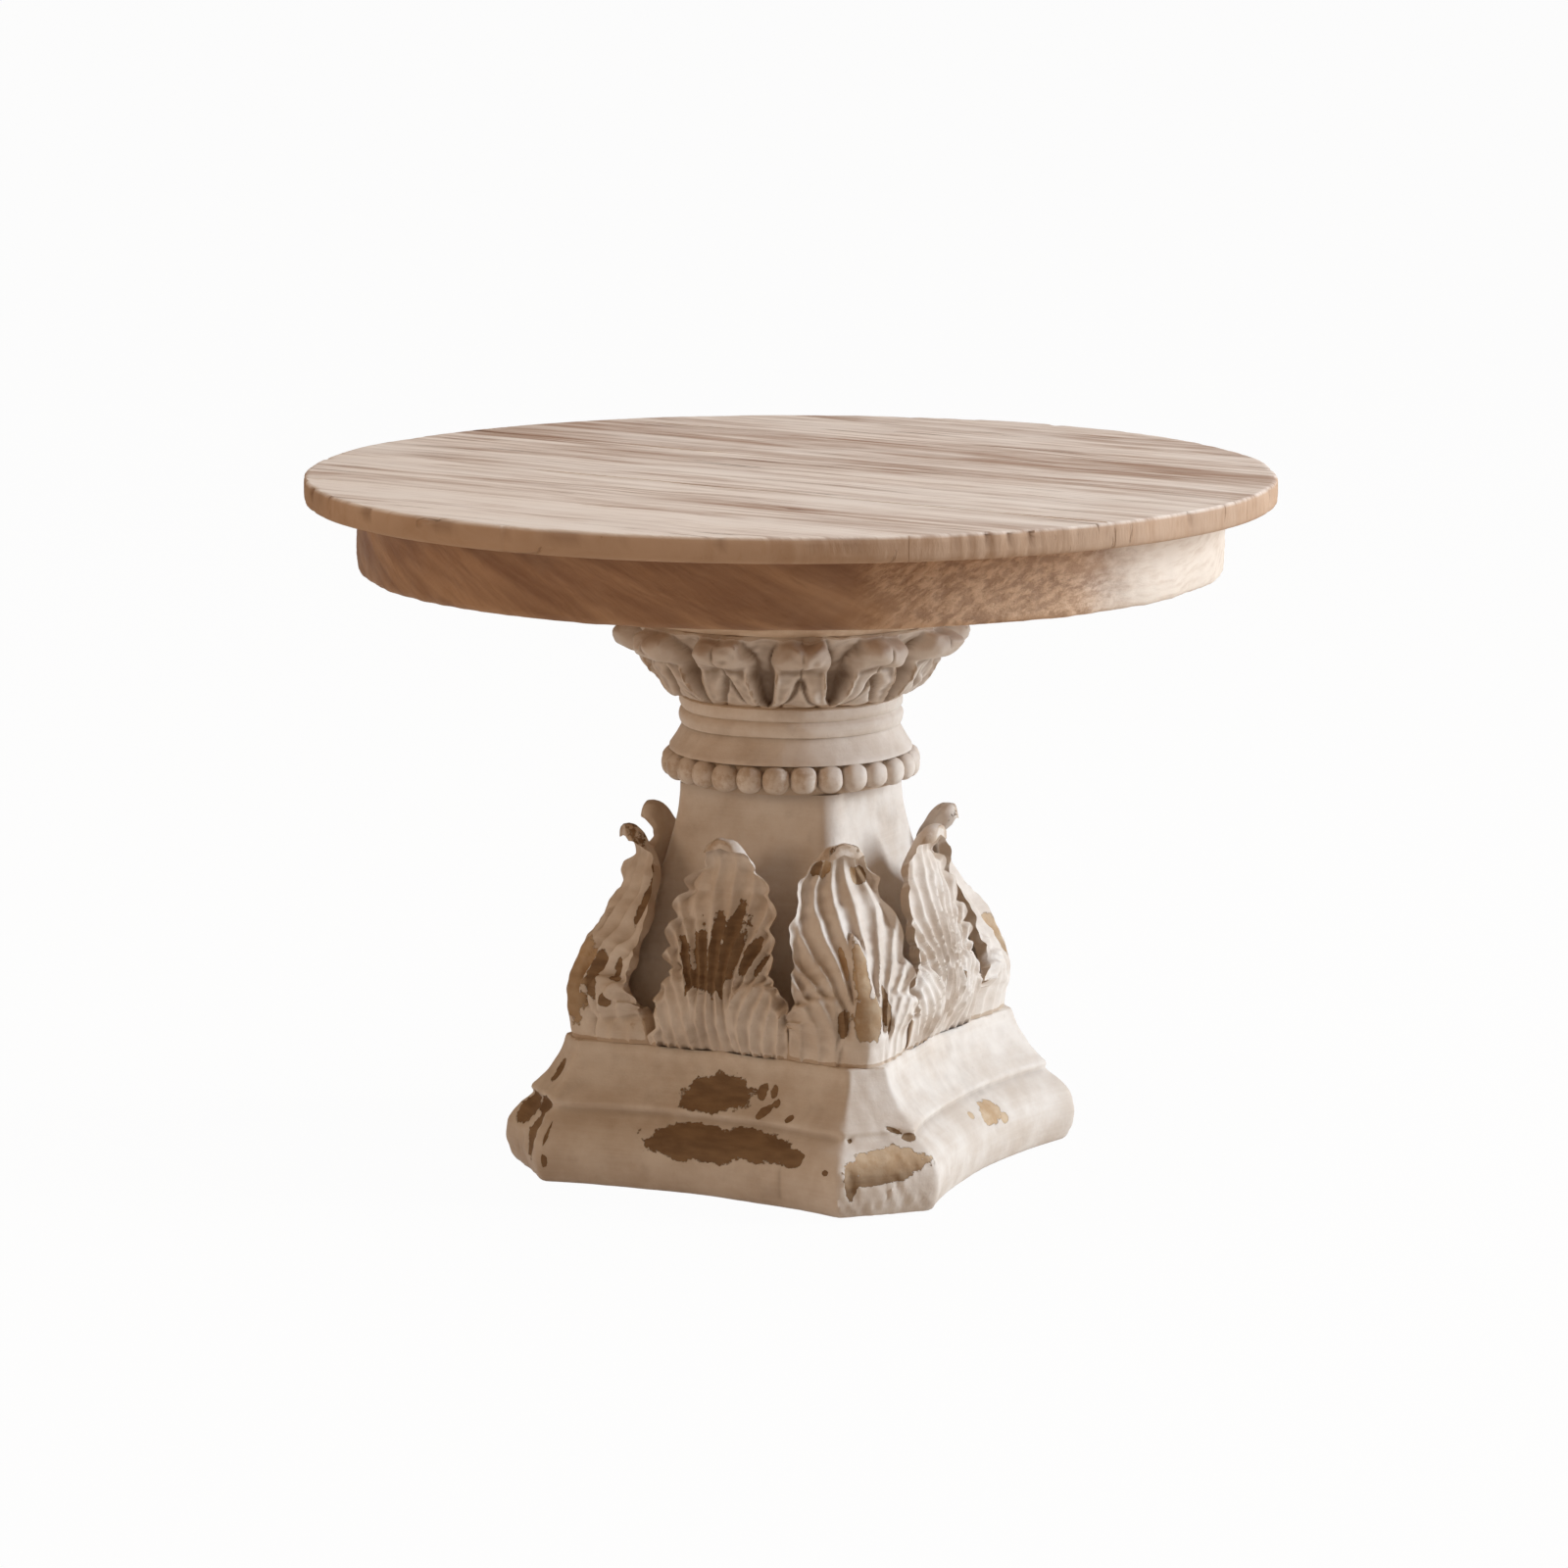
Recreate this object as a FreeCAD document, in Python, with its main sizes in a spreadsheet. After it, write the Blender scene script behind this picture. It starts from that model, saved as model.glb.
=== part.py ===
"""Round display stand: a boarded top on a carved and painted pedestal, origin at the floor under the axis."""

import FreeCAD, Part
import math
import os
import Sketcher

from FreeCAD import Placement, Rotation, Vector

doc = FreeCAD.newDocument("DisplayStand")
sizes = doc.addObject("Spreadsheet::Sheet", "Sizes")

DRIVING_SIZES = {
    # Round top of edge-glued boards
    "top_diameter": 305,
    "top_thickness": 8,
    "top_edge_bevel": 1.2,
    "board_turn": -9.4,
    "front_board_share": 0.172,
    "second_board_share": 0.187,
    "middle_board_share": 0.23,
    "fourth_board_share": 0.1735,
    # Apron drum, set back under the top, and the abacus below it
    "top_overhang": 17,
    "apron_height": 22,
    "apron_edge_round": 1.2,
    "abacus_diameter": 106,
    "abacus_height": 15,
    "abacus_cove": 2.5,
    # Capital: bell and curled leaves
    "capital_height": 24.5,
    "bell_foot_radius": 34.2,
    "bell_top_radius": 50.5,
    "bell_hollow_radius": 34,
    "capital_leaf_count": 12,
    # Neck collar with two rings and a flare over the beads
    "collar_height": 27.5,
    "ring_radius": 35.2,
    "waist_radius": 33.4,
    "flare_radius": 38.2,
    "flare_height": 8,
    "flare_bend": 60,
    "bead_band_height": 9.8,
    "bead_count": 28,
    "bead_diameter": 8.8,
    "bead_circle_radius": 36.9,
    "bead_seat_radius": 32,
    # Shaft: half width and corner radius at its top, middle and foot
    "shaft_height": 79,
    "shaft_top_half": 29.4,
    "shaft_top_corner": 13,
    "shaft_middle_half": 31.8,
    "shaft_middle_corner": 12,
    "shaft_low_half": 37.6,
    "shaft_low_corner": 10,
    "shaft_foot_half": 45,
    "shaft_foot_corner": 8,
    # Plinth: outline of its top edge and the moulding below it
    "plinth_height": 42.5,
    "plinth_face_distance": 50.6,
    "plinth_corner_distance": 73,
    "plinth_hollow_radius": 211,
    "cavetto_height": 17,
    "lip_projection": 9.6,
    "lip_height": 2.6,
    "bullnose_projection": 18.2,
    # Carved leaves standing on the plinth
    "leaf_split": 25.2,
    "leaf_gap": 0.4,
    "leaf_flute": 1.3,
    "corner_leaf_foot": 72.6,
    "corner_leaf_belly": 74.2,
    "corner_leaf_waist": 52.6,
    "corner_leaf_lip": 55.6,
    "face_leaf_foot": 50.4,
    "face_leaf_belly": 57.5,
    "face_leaf_waist": 47.6,
    "face_leaf_lip": 51.6,
    "leaf_height": 64,
    # Rod, screws and pads that hold it together
    "rod_diameter": 8,
    "rod_clearance": 0.5,
    "spigot_radius": 22,
    "spigot_length": 7,
    "fit_gap": 0.2,
    "nut_width": 13,
    "nut_height": 6.5,
    "washer_diameter": 24,
    "washer_thickness": 2,
    "counterbore_radius": 15,
    "counterbore_depth": 12,
    "insert_radius": 6.5,
    "insert_length": 15,
    "rod_end_gap": 2,
    "rod_spare": 1.5,
    "screw_radius": 2,
    "screw_head_radius": 4,
    "screw_head_height": 2.5,
    "board_screw_inset": 21.5,
    "board_screw_count": 10,
    "board_screw_length": 27,
    "abacus_screw_circle": 36,
    "abacus_screw_count": 4,
    "abacus_screw_length": 24,
    "abacus_screw_sink": 4,
    "pad_spacing": 52,
    "pad_radius": 9,
    "pad_thickness": 3,
    "pad_reveal": 1,
}

for row, (alias, number) in enumerate(DRIVING_SIZES.items(), start=1):
    sizes.set(f"A{row}", alias)
    sizes.set(f"B{row}", str(number))
    sizes.setAlias(f"B{row}", alias)
doc.recompute()


def value(expression):
    """Number that an expression of the sheet stands for."""
    return float(sizes.evalExpression(expression))


# Heights of the stack, from the floor up
plinth_foot = "Sizes.pad_reveal"
plinth_top = f"({plinth_foot} + Sizes.plinth_height)"
shaft_top = f"({plinth_top} + Sizes.shaft_height)"
collar_top = f"({shaft_top} + Sizes.collar_height)"
capital_top = f"({collar_top} + Sizes.capital_height)"
abacus_top = f"({capital_top} + Sizes.abacus_height)"
apron_top = f"({abacus_top} + Sizes.apron_height)"
board_top = f"({apron_top} + Sizes.top_thickness)"
rod_hole = "(Sizes.rod_diameter / 2 + Sizes.rod_clearance)"
socket_radius = "(Sizes.spigot_radius + Sizes.fit_gap)"
socket_depth = "(Sizes.spigot_length + Sizes.fit_gap)"
top_turn = Rotation(Vector(0, 0, 1), value("Sizes.board_turn"))


def new_body(name):
    body = doc.addObject("PartDesign::Body", name)
    body.Label = name
    return body


def origin_feature(body, role):
    return next(feature for feature in body.Origin.OriginFeatures if feature.Role == role)


def bound(sketch, kind, *geometry, size):
    """Dimension of a sketch, bound to an expression of the sheet."""
    index = sketch.addConstraint(Sketcher.Constraint(kind, *geometry, value(size)))
    sketch.setExpression(f"Constraints[{index}]", size)


def half_profile(body, name, outline, axis_distance=None):
    """Sketch of half a turned section. Each corner is a radius, a height and, where an arc follows,
    its radius: positive for a round that bulges out, negative for a hollow."""
    sketch = body.newObject("Sketcher::SketchObject", name)
    sketch.AttachmentSupport = (origin_feature(body, "XZ_Plane"), [""])
    sketch.MapMode = "FlatFace"
    if axis_distance:
        sketch.setExpression("AttachmentOffset.Base.x", axis_distance)
    corners = [Vector(value(radius), value(height), 0) for radius, height, *_ in outline]
    starts = []
    for index, (radius, height, *bend) in enumerate(outline):
        start, end = corners[index], corners[(index + 1) % len(corners)]
        if not bend:
            sketch.addGeometry(Part.LineSegment(start, end))
            starts.append(1)
            continue
        bend_radius = value(bend[0])
        chord = end - start
        middle = (start + end) / 2
        rise = math.sqrt(bend_radius ** 2 - chord.Length ** 2 / 4)
        left = Vector(-chord.y, chord.x, 0).normalize()
        centre = middle + left * math.copysign(rise, bend_radius)
        angles = [math.atan2(point.y - centre.y, point.x - centre.x) for point in (start, end)]
        if bend_radius < 0:
            angles.reverse()
        circle = Part.Circle(centre, Vector(0, 0, 1), abs(bend_radius))
        sketch.addGeometry(Part.ArcOfCircle(circle, *angles))
        starts.append(1 if bend_radius > 0 else 2)
    for index, (radius, height, *bend) in enumerate(outline):
        following = (index + 1) % len(outline)
        ends_at = 3 - starts[index]
        joint = Sketcher.Constraint("Coincident", index, ends_at, following, starts[following])
        sketch.addConstraint(joint)
        if radius == "0":
            sketch.addConstraint(Sketcher.Constraint("PointOnObject", index, starts[index], -2))
        else:
            bound(sketch, "DistanceX", -1, 1, index, starts[index], size=radius)
        bound(sketch, "DistanceY", -1, 1, index, starts[index], size=height)
        if bend:
            bound(sketch, "Radius", index, size=f"abs({bend[0]})")
    return sketch


def turn(body, name, outline, axis_distance=None, kind="PartDesign::Revolution"):
    """Turned solid, or a turned cut, about the stand's axis or about one parallel to it."""
    sketch = half_profile(body, name + "_profile", outline, axis_distance)
    feature = body.newObject(kind, name)
    feature.Profile = sketch
    feature.ReferenceAxis = (sketch, ["V_Axis"])
    feature.Angle = 360
    doc.recompute()
    return feature


def bore(body, name, outline, axis_distance=None):
    before = body.Shape.Volume
    feature = turn(body, name, outline, axis_distance, "PartDesign::Groove")
    if body.Shape.Volume >= before:
        raise RuntimeError(f"{name} cuts nothing")
    return feature


def ring_of(body, feature, name, count):
    """Repeats a feature round the axis."""
    pattern = body.newObject("PartDesign::PolarPattern", name)
    pattern.Originals = [feature]
    pattern.Axis = (origin_feature(body, "Z_Axis"), [""])
    pattern.Angle = 360
    pattern.setExpression("Occurrences", count)
    body.Tip = pattern
    doc.recompute()
    return pattern


def level_sketch(body, name, height):
    sketch = body.newObject("Sketcher::SketchObject", name)
    sketch.AttachmentSupport = (origin_feature(body, "XY_Plane"), [""])
    sketch.MapMode = "FlatFace"
    sketch.setExpression("AttachmentOffset.Base.z", height)
    return sketch


def loft(body, name, sketches):
    feature = body.newObject("PartDesign::AdditiveLoft", name)
    feature.Profile = sketches[0]
    feature.Sections = sketches[1:]
    feature.Ruled = False
    doc.recompute()
    return feature


def spigot(body, name, face):
    """Round tenon below a face, which locates the piece on the one under it."""
    low = f"({face} - Sizes.spigot_length)"
    outline = [(rod_hole, low), ("Sizes.spigot_radius", low), ("Sizes.spigot_radius", face), (rod_hole, face)]
    return turn(body, name, outline)


def rod_bore(body, name, bottom, top):
    """Hole for the rod from below, with a socket for the spigot of the piece above."""
    shoulder = f"({top} - {socket_depth})"
    outline = [("0", bottom), (rod_hole, bottom), (rod_hole, shoulder), (socket_radius, shoulder),
               (socket_radius, top), ("0", top)]
    return bore(body, name, outline)


def screw_outline(base, length, gap="0"):
    """Countersunk screw with its head down, or with a gap the hole that takes it."""
    head = f"(Sizes.screw_head_radius + {gap})"
    shank = f"(Sizes.screw_radius + {gap})"
    neck = f"({base} + Sizes.screw_head_height)"
    tip = f"({base} + {length} + {gap})"
    return [("0", base), (head, base), (shank, neck), (shank, f"({tip} - Sizes.screw_radius)"), ("0", tip)]


# Plinth: one moulding run round a square with hollow sides and cut corners
def plinth_outline(body, name, height, projection):
    """Outline of the plinth at a height, a projection out from its top edge."""
    sketch = level_sketch(body, name, height)
    hollow = f"(Sizes.plinth_hollow_radius - {projection})"
    centre = "(Sizes.plinth_face_distance + Sizes.plinth_hollow_radius)"
    corner = f"(Sizes.plinth_corner_distance + {projection})"
    distance, radius = value(centre), value(hollow)
    # Half of the arc of a hollow side, up to where it meets the cut corner
    half_arc = math.acos((distance / math.sqrt(2) - value(corner)) / radius) - math.pi / 4
    arcs = []
    for quarter in range(4):
        facing = quarter * math.pi / 2
        middle = Vector(distance * math.cos(facing), distance * math.sin(facing), 0)
        circle = Part.Circle(middle, Vector(0, 0, 1), radius)
        inward = facing + math.pi
        arcs.append(Part.ArcOfCircle(circle, inward - half_arc, inward + half_arc))
    cuts = [Part.LineSegment(arcs[quarter].StartPoint, arcs[(quarter + 1) % 4].EndPoint) for quarter in range(4)]
    sketch.addGeometry(arcs + cuts)
    for quarter in range(4):
        cut = 4 + quarter
        sketch.addConstraint(Sketcher.Constraint("Coincident", quarter, 1, cut, 1))
        sketch.addConstraint(Sketcher.Constraint("Coincident", cut, 2, (quarter + 1) % 4, 2))
        direction, axis = (("DistanceX", -1), ("DistanceY", -2))[quarter % 2]
        span = (-1, 1, quarter, 3) if quarter < 2 else (quarter, 3, -1, 1)
        sketch.addConstraint(Sketcher.Constraint("PointOnObject", quarter, 3, axis))
        bound(sketch, direction, *span, size=centre)
        bound(sketch, "Radius", quarter, size=hollow)
        bound(sketch, "Distance", -1, 1, cut, size=corner)
        slope = math.remainder(math.pi * (0.75 + quarter / 2), 2 * math.pi)
        sketch.addConstraint(Sketcher.Constraint("Angle", cut, slope))
    return sketch


def four_circles(body, name, height, radius):
    """Circles under the four corners of the plinth."""
    sketch = level_sketch(body, name, height)
    for index, (across, along) in enumerate(((1, 1), (-1, 1), (-1, -1), (1, -1))):
        spacing = value("Sizes.pad_spacing")
        centre = Vector(across * spacing, along * spacing, 0)
        sketch.addGeometry(Part.Circle(centre, Vector(0, 0, 1), value(radius)))
        bound(sketch, "Radius", index, size=radius)
        for direction, sign in (("DistanceX", across), ("DistanceY", along)):
            span = (-1, 1, index, 3) if sign > 0 else (index, 3, -1, 1)
            bound(sketch, direction, *span, size="Sizes.pad_spacing")
    return sketch


plinth = new_body("plinth")
lip_top = f"({plinth_top} - Sizes.cavetto_height)"
lip_foot = f"({lip_top} - Sizes.lip_height)"
# Bullnose: share of its height and share of its swell past the lip, which it meets in a quirk
swell = "(Sizes.bullnose_projection - Sizes.lip_projection)"
bullnose = ((0, 0.68), (0.15, 0.91), (0.4, 1), (0.65, 0.86), (0.83, 0.55), (0.95, 0.18), (1, -0.07))
outlines = []
for index, (rise, share) in enumerate(bullnose):
    level = f"({plinth_foot} + {rise} * ({lip_foot} - {plinth_foot}))"
    projection = f"(Sizes.lip_projection + {share} * {swell})"
    outlines.append(plinth_outline(plinth, f"bullnose_{index}", level, projection))
loft(plinth, "bullnose", outlines)
lip = [plinth_outline(plinth, f"lip_{name}", level, "Sizes.lip_projection")
       for name, level in (("foot", lip_foot), ("top", lip_top))]
loft(plinth, "lip", lip)
# Cavetto: sweeps in from the lip, ever steeper, to the top edge
outlines = []
for index in range(6):
    rise = index / 5
    level = f"({lip_top} + {rise} * Sizes.cavetto_height)"
    projection = f"({0.9 * (1 - rise) ** 1.8} * Sizes.lip_projection)"
    outlines.append(plinth_outline(plinth, f"cavetto_{index}", level, projection))
loft(plinth, "cavetto", outlines)
counterbore_top = f"({plinth_foot} + Sizes.counterbore_depth)"
plinth_socket = f"({plinth_top} - {socket_depth})"
bore(plinth, "rod_way", [("0", plinth_foot), ("Sizes.counterbore_radius", plinth_foot),
                         ("Sizes.counterbore_radius", counterbore_top), (rod_hole, counterbore_top),
                         (rod_hole, plinth_socket), (socket_radius, plinth_socket),
                         (socket_radius, plinth_top), ("0", plinth_top)])
pad_sockets = plinth.newObject("PartDesign::Pocket", "pad_sockets")
pad_sockets.Profile = four_circles(plinth, "pad_circles", plinth_foot, "(Sizes.pad_radius + Sizes.fit_gap)")
pad_sockets.setExpression("Length", "Sizes.pad_thickness - Sizes.pad_reveal")
pad_sockets.Reversed = True
doc.recompute()

# Felt pads, let into the plinth and standing a little proud of it
felt_pads = new_body("felt_pads")
pads = felt_pads.newObject("PartDesign::Pad", "pads")
pads.Profile = four_circles(felt_pads, "pad_discs", "0", "Sizes.pad_radius")
pads.setExpression("Length", "Sizes.pad_thickness")


# Shaft: square with soft corners, drawn in towards the top
def rounded_square(body, name, height, half, corner):
    sketch = level_sketch(body, name, height)
    flat = f"({half} - {corner})"
    radius, offset = value(corner), value(flat)
    arcs = []
    for quarter in range(4):
        turned = Rotation(Vector(0, 0, 1), 90 * quarter)
        middle = turned.multVec(Vector(offset, offset, 0))
        circle = Part.Circle(middle, Vector(0, 0, 1), radius)
        start = quarter * math.pi / 2
        arcs.append(Part.ArcOfCircle(circle, start, start + math.pi / 2))
    sides = [Part.LineSegment(arcs[quarter].EndPoint, arcs[(quarter + 1) % 4].StartPoint) for quarter in range(4)]
    sketch.addGeometry(arcs + sides)
    for quarter in range(4):
        edge = 4 + quarter
        sketch.addConstraint(Sketcher.Constraint("Tangent", quarter, 2, edge, 1))
        sketch.addConstraint(Sketcher.Constraint("Tangent", edge, 2, (quarter + 1) % 4, 1))
        outward = (-1, 1, quarter, 3)
        inward = (quarter, 3, -1, 1)
        bound(sketch, "DistanceX", *(outward if quarter in (0, 3) else inward), size=flat)
        bound(sketch, "DistanceY", *(outward if quarter in (0, 1) else inward), size=flat)
        bound(sketch, "Radius", quarter, size=corner)
    return sketch


shaft = new_body("shaft")
shaft_stations = (("foot", 0), ("low", 0.42), ("middle", 0.72), ("top", 1))
loft(shaft, "flared_shaft", [
    rounded_square(shaft, f"shaft_at_{name}", f"({plinth_top} + {rise} * Sizes.shaft_height)",
                   f"Sizes.shaft_{name}_half", f"Sizes.shaft_{name}_corner")
    for name, rise in shaft_stations])
spigot(shaft, "shaft_spigot", plinth_top)
rod_bore(shaft, "shaft_bore", f"({plinth_top} - Sizes.spigot_length)", shaft_top)

# Neck collar: two rings above a quirk, then a flare that shelters the beads
collar = new_body("neck_collar")
bead_top = f"({shaft_top} + Sizes.bead_band_height)"
flare_top = f"({bead_top} + Sizes.flare_height)"
ring_height = f"(({collar_top} - {flare_top}) / 2)"
ring_seam = f"({flare_top} + {ring_height})"
ring_swell = "(Sizes.ring_radius - Sizes.waist_radius)"
ring_bend = f"(({ring_height} * {ring_height} / 4 + {ring_swell} * {ring_swell}) / (2 * {ring_swell}))"
turn(collar, "collar_turning", [
    (rod_hole, shaft_top), ("Sizes.bead_seat_radius", shaft_top), ("Sizes.bead_seat_radius", bead_top),
    ("Sizes.flare_radius", bead_top, "Sizes.flare_bend"), ("Sizes.waist_radius", flare_top, ring_bend),
    ("Sizes.waist_radius", ring_seam, f"(1.5 * {ring_bend})"),
    ("Sizes.waist_radius", collar_top), (rod_hole, collar_top)])
spigot(collar, "collar_spigot", shaft_top)
rod_bore(collar, "collar_bore", f"({shaft_top} - Sizes.spigot_length)", collar_top)

# Bead ring: a turned hoop with a row of round beads, slipped on below the flare
bead_ring = new_body("bead_ring")
hoop_inside = "(Sizes.bead_seat_radius + Sizes.fit_gap)"
hoop_outside = "(Sizes.bead_circle_radius - Sizes.bead_diameter / 8)"
hoop = [(hoop_inside, shaft_top), (hoop_outside, shaft_top), (hoop_outside, bead_top), (hoop_inside, bead_top)]
turn(bead_ring, "bead_hoop", hoop)
one_bead = bead_ring.newObject("PartDesign::AdditiveSphere", "bead")
one_bead.AttachmentSupport = (origin_feature(bead_ring, "XY_Plane"), [""])
one_bead.MapMode = "FlatFace"
one_bead.setExpression("Radius", "Sizes.bead_diameter / 2")
one_bead.setExpression("AttachmentOffset.Base.x", "Sizes.bead_circle_radius")
one_bead.setExpression("AttachmentOffset.Base.z", f"{shaft_top} + Sizes.bead_band_height / 2")
doc.recompute()
ring_of(bead_ring, one_bead, "beads", "Sizes.bead_count")


# Carved leaves: sections square to a spine that rises, bellies out, draws in and curls over
def blend(stations, position):
    """Straight-line reading of evenly spread values."""
    place = position * (len(stations) - 1)
    lower = min(int(place), len(stations) - 2)
    return stations[lower] + (stations[lower + 1] - stations[lower]) * (place - lower)


def carved_leaf(spine_points, widths, folds, depths, flutes, ridges, phase, limit):
    """Leaf whose front follows the spine, with ridges and flutes that run up it. At each spine point it has a
    half width, a fold back at the edges, a depth and a flute depth. The limit keeps it inside its sector."""
    spine = Part.BSplineCurve()
    spine.interpolate(Points=[Vector(radius, 0, height) for radius, height in spine_points])
    knots = [spine.parameter(Vector(radius, 0, height)) for radius, height in spine_points]
    sections = []
    steps = 2 * (len(spine_points) - 1)
    for step in range(steps + 1):
        position = step / steps
        parameter = blend(knots, position)
        point = spine.value(parameter)
        along = spine.tangent(parameter)[0]
        if step == 0:
            along = Vector(0, 0, 1)
        outward = Vector(along.z, 0, -along.x)
        fold = blend(folds, position)
        depth = blend(depths, position)
        flute = blend(flutes, position)
        notch = 1 if step % 2 == 0 else 0.93
        half = min(blend(widths, position) * notch, (point.x - fold) * math.tan(limit))
        front = []
        for ridge in range(-ridges, ridges + 1):
            share = ridge / ridges
            hollow = flute if (ridge + phase) % 2 else 0
            back = fold * abs(share) ** 1.5 + hollow
            front.append(point + Vector(0, half * share, 0) - outward * back)
        # The edges run in towards the axis, so that neighbours stand side by side
        inner = []
        for corner in (front[-1], front[0]):
            inward = outward * -corner.x - Vector(0, corner.y * abs(outward.x), 0)
            inner.append(corner + inward.normalize() * depth * 0.7)
        inner.insert(1, point - outward * depth)
        front_curve = Part.BSplineCurve()
        front_curve.interpolate(Points=front)
        back_curve = Part.BSplineCurve()
        back_curve.interpolate(Points=inner)
        edges = [front_curve.toShape(), Part.makeLine(front[-1], inner[0]), back_curve.toShape(),
                 Part.makeLine(inner[-1], front[0])]
        sections.append(Part.Wire(edges))
    return Part.makeLoft(sections, True, False)


def named_feature(name, shape, turned=0):
    feature = doc.addObject("Part::Feature", name)
    feature.Label = name
    feature.Shape = shape
    feature.Placement = Placement(Vector(), Rotation(Vector(0, 0, 1), turned))
    return feature


leaf_foot = value(plinth_top)
leaf_rise = value("Sizes.leaf_height")
flute_depth = value("Sizes.leaf_flute")
flutes = [flute_depth * share for share in (0.8, 1, 1, 0.8, 0.4)]
split = math.radians(value("Sizes.leaf_split"))
# The shaft, a glue line larger, is cut out of the backs of the leaves
glue_line = FreeCAD.Matrix()
growth = 1 + value("Sizes.leaf_gap / Sizes.shaft_foot_half")
glue_line.scale(growth, growth, 1)
shaft_room = shaft.Shape.transformGeometry(glue_line)


def pedestal_leaf(name, widths, folds, depths, sector, facing):
    """Leaf on the plinth: foot, belly, shoulder, waist and curled lip, with its sections as shares of the foot."""
    foot, belly, waist, lip_out = [value(f"Sizes.{name}_leaf_{place}") for place in ("foot", "belly", "waist", "lip")]
    widths, folds, depths = [[share * foot for share in shares] for shares in (widths, folds, depths)]
    shoulder = waist + 0.55 * (belly - waist)
    spine = ((foot, leaf_foot), (belly, leaf_foot + 0.2 * leaf_rise), (shoulder, leaf_foot + 0.55 * leaf_rise),
             (waist, leaf_foot + 0.9 * leaf_rise), (lip_out, leaf_foot + leaf_rise))
    clear = math.asin(value("Sizes.leaf_gap / 2") / foot)
    leaf = carved_leaf(spine, widths, folds, depths, flutes, 4, 0, sector - clear)
    return leaf.cut(shaft_room.rotated(Vector(), Vector(0, 0, 1), -facing))


corner_shape = pedestal_leaf("corner", (0.317, 0.296, 0.262, 0.15, 0.11), (0.262, 0.193, 0.118, 0.041, 0.021),
                             (0.179, 0.124, 0.083, 0.062, 0.055), math.pi / 4 - split, 45)
face_shape = pedestal_leaf("face", (0.516, 0.486, 0.367, 0.228, 0.149), (0.016, 0.06, 0.079, 0.05, 0.03),
                           (0.179, 0.179, 0.119, 0.089, 0.079), split, 0)
leaves = []
for quarter in range(4):
    leaves.append(named_feature(f"corner_leaf_{quarter + 1}", corner_shape, 90 * quarter - 45))
    leaves.append(named_feature(f"face_leaf_{quarter + 1}", face_shape, 90 * quarter - 90))

# Capital: a hollow-sided bell with a ring of heart-shaped leaves whose lips curl out
bell = new_body("capital_bell")
turn(bell, "bell_turning", [
    (rod_hole, collar_top), ("Sizes.bell_foot_radius", collar_top, "-Sizes.bell_hollow_radius"),
    ("Sizes.bell_top_radius", capital_top), (rod_hole, capital_top)])
spigot(bell, "bell_spigot", collar_top)
rod_bore(bell, "bell_bore", f"({collar_top} - Sizes.spigot_length)", capital_top)
bell_foot = value(collar_top)
bell_rise = value("Sizes.capital_height")
foot_radius = value("Sizes.bell_foot_radius")
bell_spread = value("Sizes.bell_top_radius") - foot_radius
leaf_count = round(value("Sizes.capital_leaf_count"))
leaf_sector = math.pi / leaf_count
spine = [(foot_radius + out * bell_spread, bell_foot + up * bell_rise)
         for out, up in ((0.12, 0), (0.36, 0.3), (0.85, 0.6), (1.3, 0.72))]
leaf_stations = ((0.269, 0.298, 0.339, 0.292), (0.047, 0.053, 0.07, 0.047), (0.132, 0.146, 0.175, 0.146),
                 (0.064, 0.053, 0.029, 0.018))
leaf_sections = [[share * foot_radius for share in shares] for shares in leaf_stations]
capital_leaf = carved_leaf(spine, *leaf_sections, 2, 1, leaf_sector * 0.94)
capital = doc.addObject("Part::MultiFuse", "capital")
capital.Label = "capital"
capital.Shapes = [bell] + [named_feature(f"capital_leaf_{index}", capital_leaf, 360 * index / leaf_count)
                           for index in range(leaf_count)]
doc.recompute()

# Abacus: turned block with a small cove below, screwed up into the apron
abacus = new_body("abacus")
rim = "(Sizes.abacus_diameter / 2)"
turn(abacus, "abacus_turning", [
    (rod_hole, capital_top), (f"({rim} - Sizes.abacus_cove)", capital_top, "-Sizes.abacus_cove"),
    (rim, f"({capital_top} + Sizes.abacus_cove)"), (rim, abacus_top), (rod_hole, abacus_top)])
spigot(abacus, "abacus_spigot", capital_top)
sunk_head = "(Sizes.screw_head_radius + Sizes.fit_gap)"
screw_way = "(Sizes.screw_radius + Sizes.fit_gap)"
screw_seat = f"({capital_top} + Sizes.abacus_screw_sink)"
seat_top = f"({screw_seat} + Sizes.screw_head_height)"
way = bore(abacus, "abacus_screw_way", [
    ("0", capital_top), (sunk_head, capital_top), (sunk_head, screw_seat), (screw_way, seat_top),
    (screw_way, abacus_top), ("0", abacus_top)], "Sizes.abacus_screw_circle")
ring_of(abacus, way, "abacus_screw_ways", "Sizes.abacus_screw_count")
abacus_screws = new_body("abacus_screws")
screw = turn(abacus_screws, "abacus_screw", screw_outline(screw_seat, "Sizes.abacus_screw_length"),
             "Sizes.abacus_screw_circle")
ring_of(abacus_screws, screw, "abacus_screw_ring", "Sizes.abacus_screw_count")

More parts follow.
